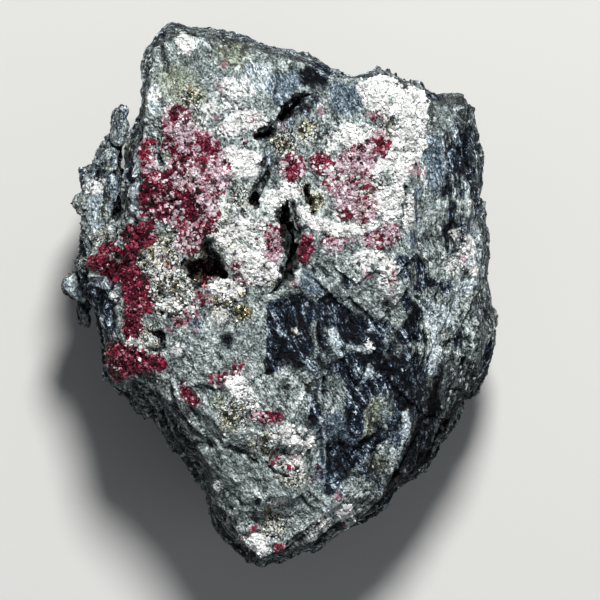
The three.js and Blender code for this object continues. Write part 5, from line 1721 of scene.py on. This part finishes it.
crystal_pieces = {}
for number, name in enumerate(CRUST_NAMES):
    kind = name.split("_")[0]
    random = np.random.default_rng(CRUST_SEED + number)
    weights = np.where(near_owner == number, near_weight, 0)[skin_triangles].mean(1)
    places, size, variant = sow(random, weights, OWN_DENSITIES.get(name, DENSITY[kind]), kind)
    tone = tones_for(random, name, kind, places)
    crystal_pieces[name] = crystal_mesh(random, f"{name}_crystals", kind, places, size, variant, tone)

# %% [markdown]
# Single crystals and small clusters also lie off the crusts. Each spot is a place, a reach and
# how many crystals it holds.

# %% Spots of stray crystals
STRAYS = {
    # x, y, reach and how many
    "stray_cinnabar": [
        (-9.1, -13, 0.5, 9), (-6.9, -11.6, 0.8, 16), (-0.45, -25, 0.6, 12), (5.1, -27.8, 0.5, 8),
        (5.7, -26.2, 0.4, 7), (-4.4, -35, 0.5, 9), (-5.4, -36.7, 0.4, 6), (9.8, -34.4, 0.4, 6),
        (5.7, -34.5, 0.3, 4), (-5, 22.3, 0.4, 6), (11.8, 21.5, 0.7, 18), (14.9, 22.3, 0.5, 9),
        (14.2, 26.3, 0.5, 8), (11.4, 18.5, 0.5, 9), (10, 14.3, 0.6, 12), (13, 11.5, 0.6, 12),
        (-16, 27.4, 0.4, 6), (-15.6, 25.4, 0.4, 6), (-13.6, -15.4, 0.4, 6), (-6.6, 3.9, 0.7, 22),
        (-5.6, 1.9, 0.7, 20), (16.4, 2.2, 0.6, 8), (27.3, 5.2, 0.4, 6), (-16.9, 4.2, 0.6, 9),
        (8.2, 17, 0.7, 14), (18.4, 18.4, 0.5, 8), (-15.2, -4, 0.5, 8), (-11.6, 1, 0.5, 12),
        (-12.2, -0.2, 0.45, 10), (-12.8, -1.6, 0.4, 8), (-11.2, -1, 0.6, 14), (-12.9, -2.9, 0.6, 14),
        (-14.6, -4.4, 0.7, 14), (-10.4, -12.6, 0.5, 10), (-8.2, -12.4, 0.5, 12), (-6.2, -11, 0.5, 9),
        (1.4, -26, 0.5, 8),
    ],
    "stray_calcite": [
        (-16.5, 27.9, 0.4, 8), (-15.3, 24.9, 0.5, 10), (-6.2, 12.4, 1.2, 30), (-17.4, 3.6, 1.1, 30),
        (-16.6, -1.6, 1.3, 36), (-8.6, 9.6, 1, 24), (2, -25.2, 0.9, 20), (12.4, 4.4, 1.2, 28),
        (15.6, 1.6, 0.8, 14), (6.4, 15.4, 0.9, 20), (9.6, 11.6, 1, 24), (19.6, 28.6, 1.1, 26),
        (9.6, -33.6, 0.7, 16), (6.4, -33.8, 0.5, 10), (-2.8, -37.4, 0.9, 20), (13.4, -8, 0.35, 7),
        (13.2, -7, 0.3, 5), (-27.6, 15.8, 0.9, 14), (-13, 17.2, 0.6, 12), (11.8, 17.2, 0.8, 20),
        (-1.6, 3.8, 0.8, 16), (-12.8, -2.2, 0.6, 12), (26.2, 4, 0.8, 12), (1.4, 15.6, 1, 22),
        (-6.6, -12.8, 0.8, 16), (14.4, 14.6, 0.8, 18), (9.4, 18.8, 0.9, 20), (-5.2, -15, 1, 26),
        (-4, -16.5, 0.8, 18),
    ],
    "stray_pyrite": [
        (5.2, 13.6, 1, 34), (0.7, 22.2, 1, 22), (3.8, 24.4, 0.7, 12), (-7.2, -18.2, 1.6, 34),
        (-2.4, -22.6, 1.3, 26), (2, -27, 1.4, 26), (-16.4, 1, 1.6, 30), (-7.6, 8.4, 1.2, 20),
        (-8.2, -1, 1.4, 28), (-5.4, -2.8, 0.9, 16), (-1, -33.2, 1.4, 16), (-18.6, 6, 1.4, 20),
        (12.6, 13.4, 1.4, 18), (-12.4, 3, 2.6, 40), (13.6, 9, 1.2, 16), (-13, 29, 1.8, 14),
    ],
}
print("spots of stray crystals:", sum(len(spots) for spots in STRAYS.values()))

# %% Sow the stray crystals
STRAY_SEED = 2000

open_face = (tri_normal[:, 2] > 0.15) & (tri_middle[:, 2] > FRONT_LEVEL)
for piece_name, spots in STRAYS.items():
    kind = piece_name.split("_")[1]
    random = np.random.default_rng(STRAY_SEED + len(piece_name))
    sown = []
    for cx, cy, reach, count in spots:
        distance = (tri_middle[:, 0] - cx) ** 2 + (tri_middle[:, 1] - cy) ** 2
        weights = np.where(open_face, np.exp2(-distance / reach**2), 0)
        density = count / (weights * tri_area).sum()
        sown.append(sow(random, weights, density, kind))
    places, size, variant = (np.concatenate(part) for part in zip(*sown))
    tone = tones_for(random, piece_name, kind, places)
    crystal_pieces[piece_name] = crystal_mesh(random, piece_name, kind, places, size, variant, tone)
print("crystal triangles:", sum(len(piece.data.polygons) for piece in crystal_pieces.values()))

# %% [markdown]
# ## Crystal materials
#
# Cinnabar is deep red and bends light strongly, so its faces flash. Calcite is milky white. Pyrite
# is a brassy metal. Each takes its shade from the crystal's own tone, then gets finer flaws from
# noise, so that no two faces match. Light shines into real calcite a little. Subsurface
# scattering could show that, but it is slow, and hardly visible on crystals this small.

# %% Cinnabar, calcite and pyrite
CINNABAR_TONES = [(0.0, 0.010, 0.001, 0.002), (0.25, 0.066, 0.002, 0.011), (0.60, 0.34, 0.013, 0.050),
                  (0.68, 0.42, 0.23, 0.30), (1.0, 0.83, 0.80, 0.83)]
CALCITE_TONES = [(0.0, 0.02, 0.02, 0.015), (0.06, 0.14, 0.14, 0.12), (0.14, 0.52, 0.53, 0.52),
                 (0.36, 0.86, 0.87, 0.87), (0.60, 0.97, 0.97, 0.97)]
PYRITE_TONES = [(0.0, 0.10, 0.085, 0.045), (0.35, 0.37, 0.32, 0.19), (0.66, 0.80, 0.74, 0.54)]


def crystal_material(name, stops, roughness, tint_share):
    material, graph, shader = new_material(name)
    tone, place = graph.attribute("tone"), graph.millimetres()
    flawed = graph.group(flaw_tree, Vector=place, Tone=tone, Tint=tint_share)
    shade = graph.tinted(graph.ramp(flawed["Tone"], stops), graph.grey(flawed["Shade"]))
    graph.feed(shader.inputs["Base Color"], shade)
    graph.feed(shader.inputs["Roughness"], graph.between(flawed["Flaws"], 0.3, 0.7, *roughness))
    graph.bump(shader, flawed["Height"])
    return material, shader


cinnabar_material, cinnabar_shader = crystal_material("cinnabar_red", CINNABAR_TONES, (0.20, 0.36), 0.10)
cinnabar_shader.inputs["IOR"].default_value = 1.8
cinnabar_shader.inputs["Specular IOR Level"].default_value = 0.28
calcite_material, _ = crystal_material("calcite_white", CALCITE_TONES, (0.34, 0.55), 0.3)
pyrite_material, pyrite_shader = crystal_material("pyrite_brass", PYRITE_TONES, (0.22, 0.42), 0.3)
pyrite_shader.inputs["Metallic"].default_value = 1.0
CRYSTAL_MATERIALS = {"cinnabar": cinnabar_material, "calcite": calcite_material, "pyrite": pyrite_material}
print("crystal materials:", [material.name for material in CRYSTAL_MATERIALS.values()])

# %% [markdown]
# Nothing on a rock moves, so every piece of crystals rides on the root. It takes the place of the
# CAD crust that it grew on, and the stray crystals take no crust's place.

# %% Ride and replace the crusts
for name, piece in crystal_pieces.items():
    kind = next(kind for kind in CRYSTAL_MATERIALS if kind in name)
    piece.data.materials.append(CRYSTAL_MATERIALS[kind])
    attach(piece, "root")
    if name in CRUST_NAMES:
        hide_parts(name)
print("pieces of crystals:", len(crystal_pieces))

# %% [markdown]
# Baked textures need a flat map of each piece. The crystals of a crust lie in so thin a layer that
# their map is just the view from above, tipped a little so that upright faces get some room too.
# Smart UV Project could unwrap them, but it would cut them into thousands of tiny islands.

# %% Flat maps of the crystals
MAP_NAME = "OFBake"
MAP_MARGIN = 0.02
TIP_X, TIP_Y = 0.31, 0.17  # how far the view is tipped, as mm sideways to each mm of height


def corner_points(mesh):
    """Which point each corner of each face sits on."""
    return read(mesh.loops, "vertex_index", 1, np.int32)[:, 0]


def write_map(mesh, flat):
    mesh.uv_layers.new(name=MAP_NAME).uv.foreach_set("vector", flat.astype(np.float32).ravel())


for piece in crystal_pieces.values():
    points = read_points(piece.data)
    tipped = np.stack([points[:, 0] + TIP_X * points[:, 2], points[:, 1] + TIP_Y * points[:, 2]], 1)
    low, high = tipped.min(0), tipped.max(0)
    tipped = MAP_MARGIN + (1 - 2 * MAP_MARGIN) * (tipped - low) / (high - low)
    write_map(piece.data, tipped[corner_points(piece.data)])
print("flat maps:", len(crystal_pieces))

# %% [markdown]
# ## Thin out the rock and map it
#
# The chips and crystals are all in place now, so the rock can lose the points that hardly shape
# it. The Decimate modifier takes them away where the skin is flattest. Then each face is laid on
# the flat map by the way it faces: the front face gets most of the room, and each side and the
# back has a rectangle of its own. The smoothed directions decide, so that a rectangle isn't torn
# up by every little chip.

# %% Fewer triangles
KEPT_SHARE = 0.60
facing = rock.data.attributes.new("facing", "FLOAT_VECTOR", "POINT")
facing.data.foreach_set("vector", outwards.astype(np.float32).ravel())
thin = rock.modifiers.new("thin out", "DECIMATE")
thin.ratio = KEPT_SHARE
with_modifiers_applied(rock)


def triangles_in(mesh):
    return len(mesh.loops) - 2 * len(mesh.polygons)


print("triangles left on the rock:", triangles_in(rock.data))

# %% Which way each face of the rock faces
FRONT_BIAS = 0.15  # the front and the back take in their rounded edges
LEAST_SEEN = 0.12  # a face more edge-on than this goes by its own direction, to get some room


def main_direction(normals):
    axis = np.abs(normals).argmax(1)
    return axis, np.sign(normals[np.arange(len(normals)), axis]).astype(int)


points = read_points(rock.data)
corners_at = corner_points(rock.data)
face_total = read(rock.data.polygons, "loop_total", 1, np.int32)[:, 0]
face_of_corner = np.repeat(np.arange(len(face_total)), face_total)
kept_facing = read(rock.data.attributes["facing"].data, "vector", 3)
own = read(rock.data.polygons, "normal", 3)
smooth = np.stack([np.bincount(face_of_corner, kept_facing[corners_at, k]) for k in range(3)], 1)
smooth /= np.maximum(np.linalg.norm(smooth, axis=1, keepdims=True), 1e-6)
smooth[:, 2] += FRONT_BIAS * np.sign(smooth[:, 2])
axis, side = main_direction(smooth)
own_axis, own_side = main_direction(own)
edge_on = own[np.arange(len(own)), axis] * side < LEAST_SEEN
axis = np.where(edge_on, own_axis, axis)
side = np.where(edge_on, own_side, side)
print("faces that go by their own direction:", int(edge_on.sum()))

# %% Flat map of the rock
ACROSS = {0: (1, 2), 1: (0, 2), 2: (0, 1)}  # the two axes left when looking along x, y or z
# direction it faces: (corner of its rectangle, mm to one whole map, turned)
SHEETS = {(2, 1): ((0.0, 0.0), 122.0, True), (2, -1): ((0.68, 0.0), 212.0, False),
          (0, 1): ((0.0, 0.55), 175.0, False), (0, -1): ((0.5, 0.55), 175.0, False),
          (1, 1): ((0.0, 0.80), 222.0, False), (1, -1): ((0.5, 0.80), 222.0, False)}
SHEET_MARGIN = 0.004
rock_map = np.zeros((len(corners_at), 2))
low_corner = points.min(0)
for (sheet_axis, sheet_side), (start, scale, turned) in SHEETS.items():
    faces = (axis == sheet_axis) & (side == sheet_side)
    mine = faces[face_of_corner]
    first, second = ACROSS[sheet_axis]
    if turned:
        first, second = second, first
    flat = (points[corners_at[mine]] - low_corner)[:, [first, second]] / scale
    rock_map[mine] = np.array(start) + SHEET_MARGIN + flat
    print("faces along", "xyz"[sheet_axis], sheet_side, int(faces.sum()), flat.max(0).round(3))
write_map(rock.data, rock_map)
rock.data.attributes.remove(rock.data.attributes["facing"])
sizes = [triangles_in(piece.data) for piece in [rock, *crystal_pieces.values()]]
print("most triangles in a piece:", max(sizes), "and in all:", sum(sizes))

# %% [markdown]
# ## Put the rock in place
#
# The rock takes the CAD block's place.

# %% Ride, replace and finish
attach(rock, "root")
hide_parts("host_rock")
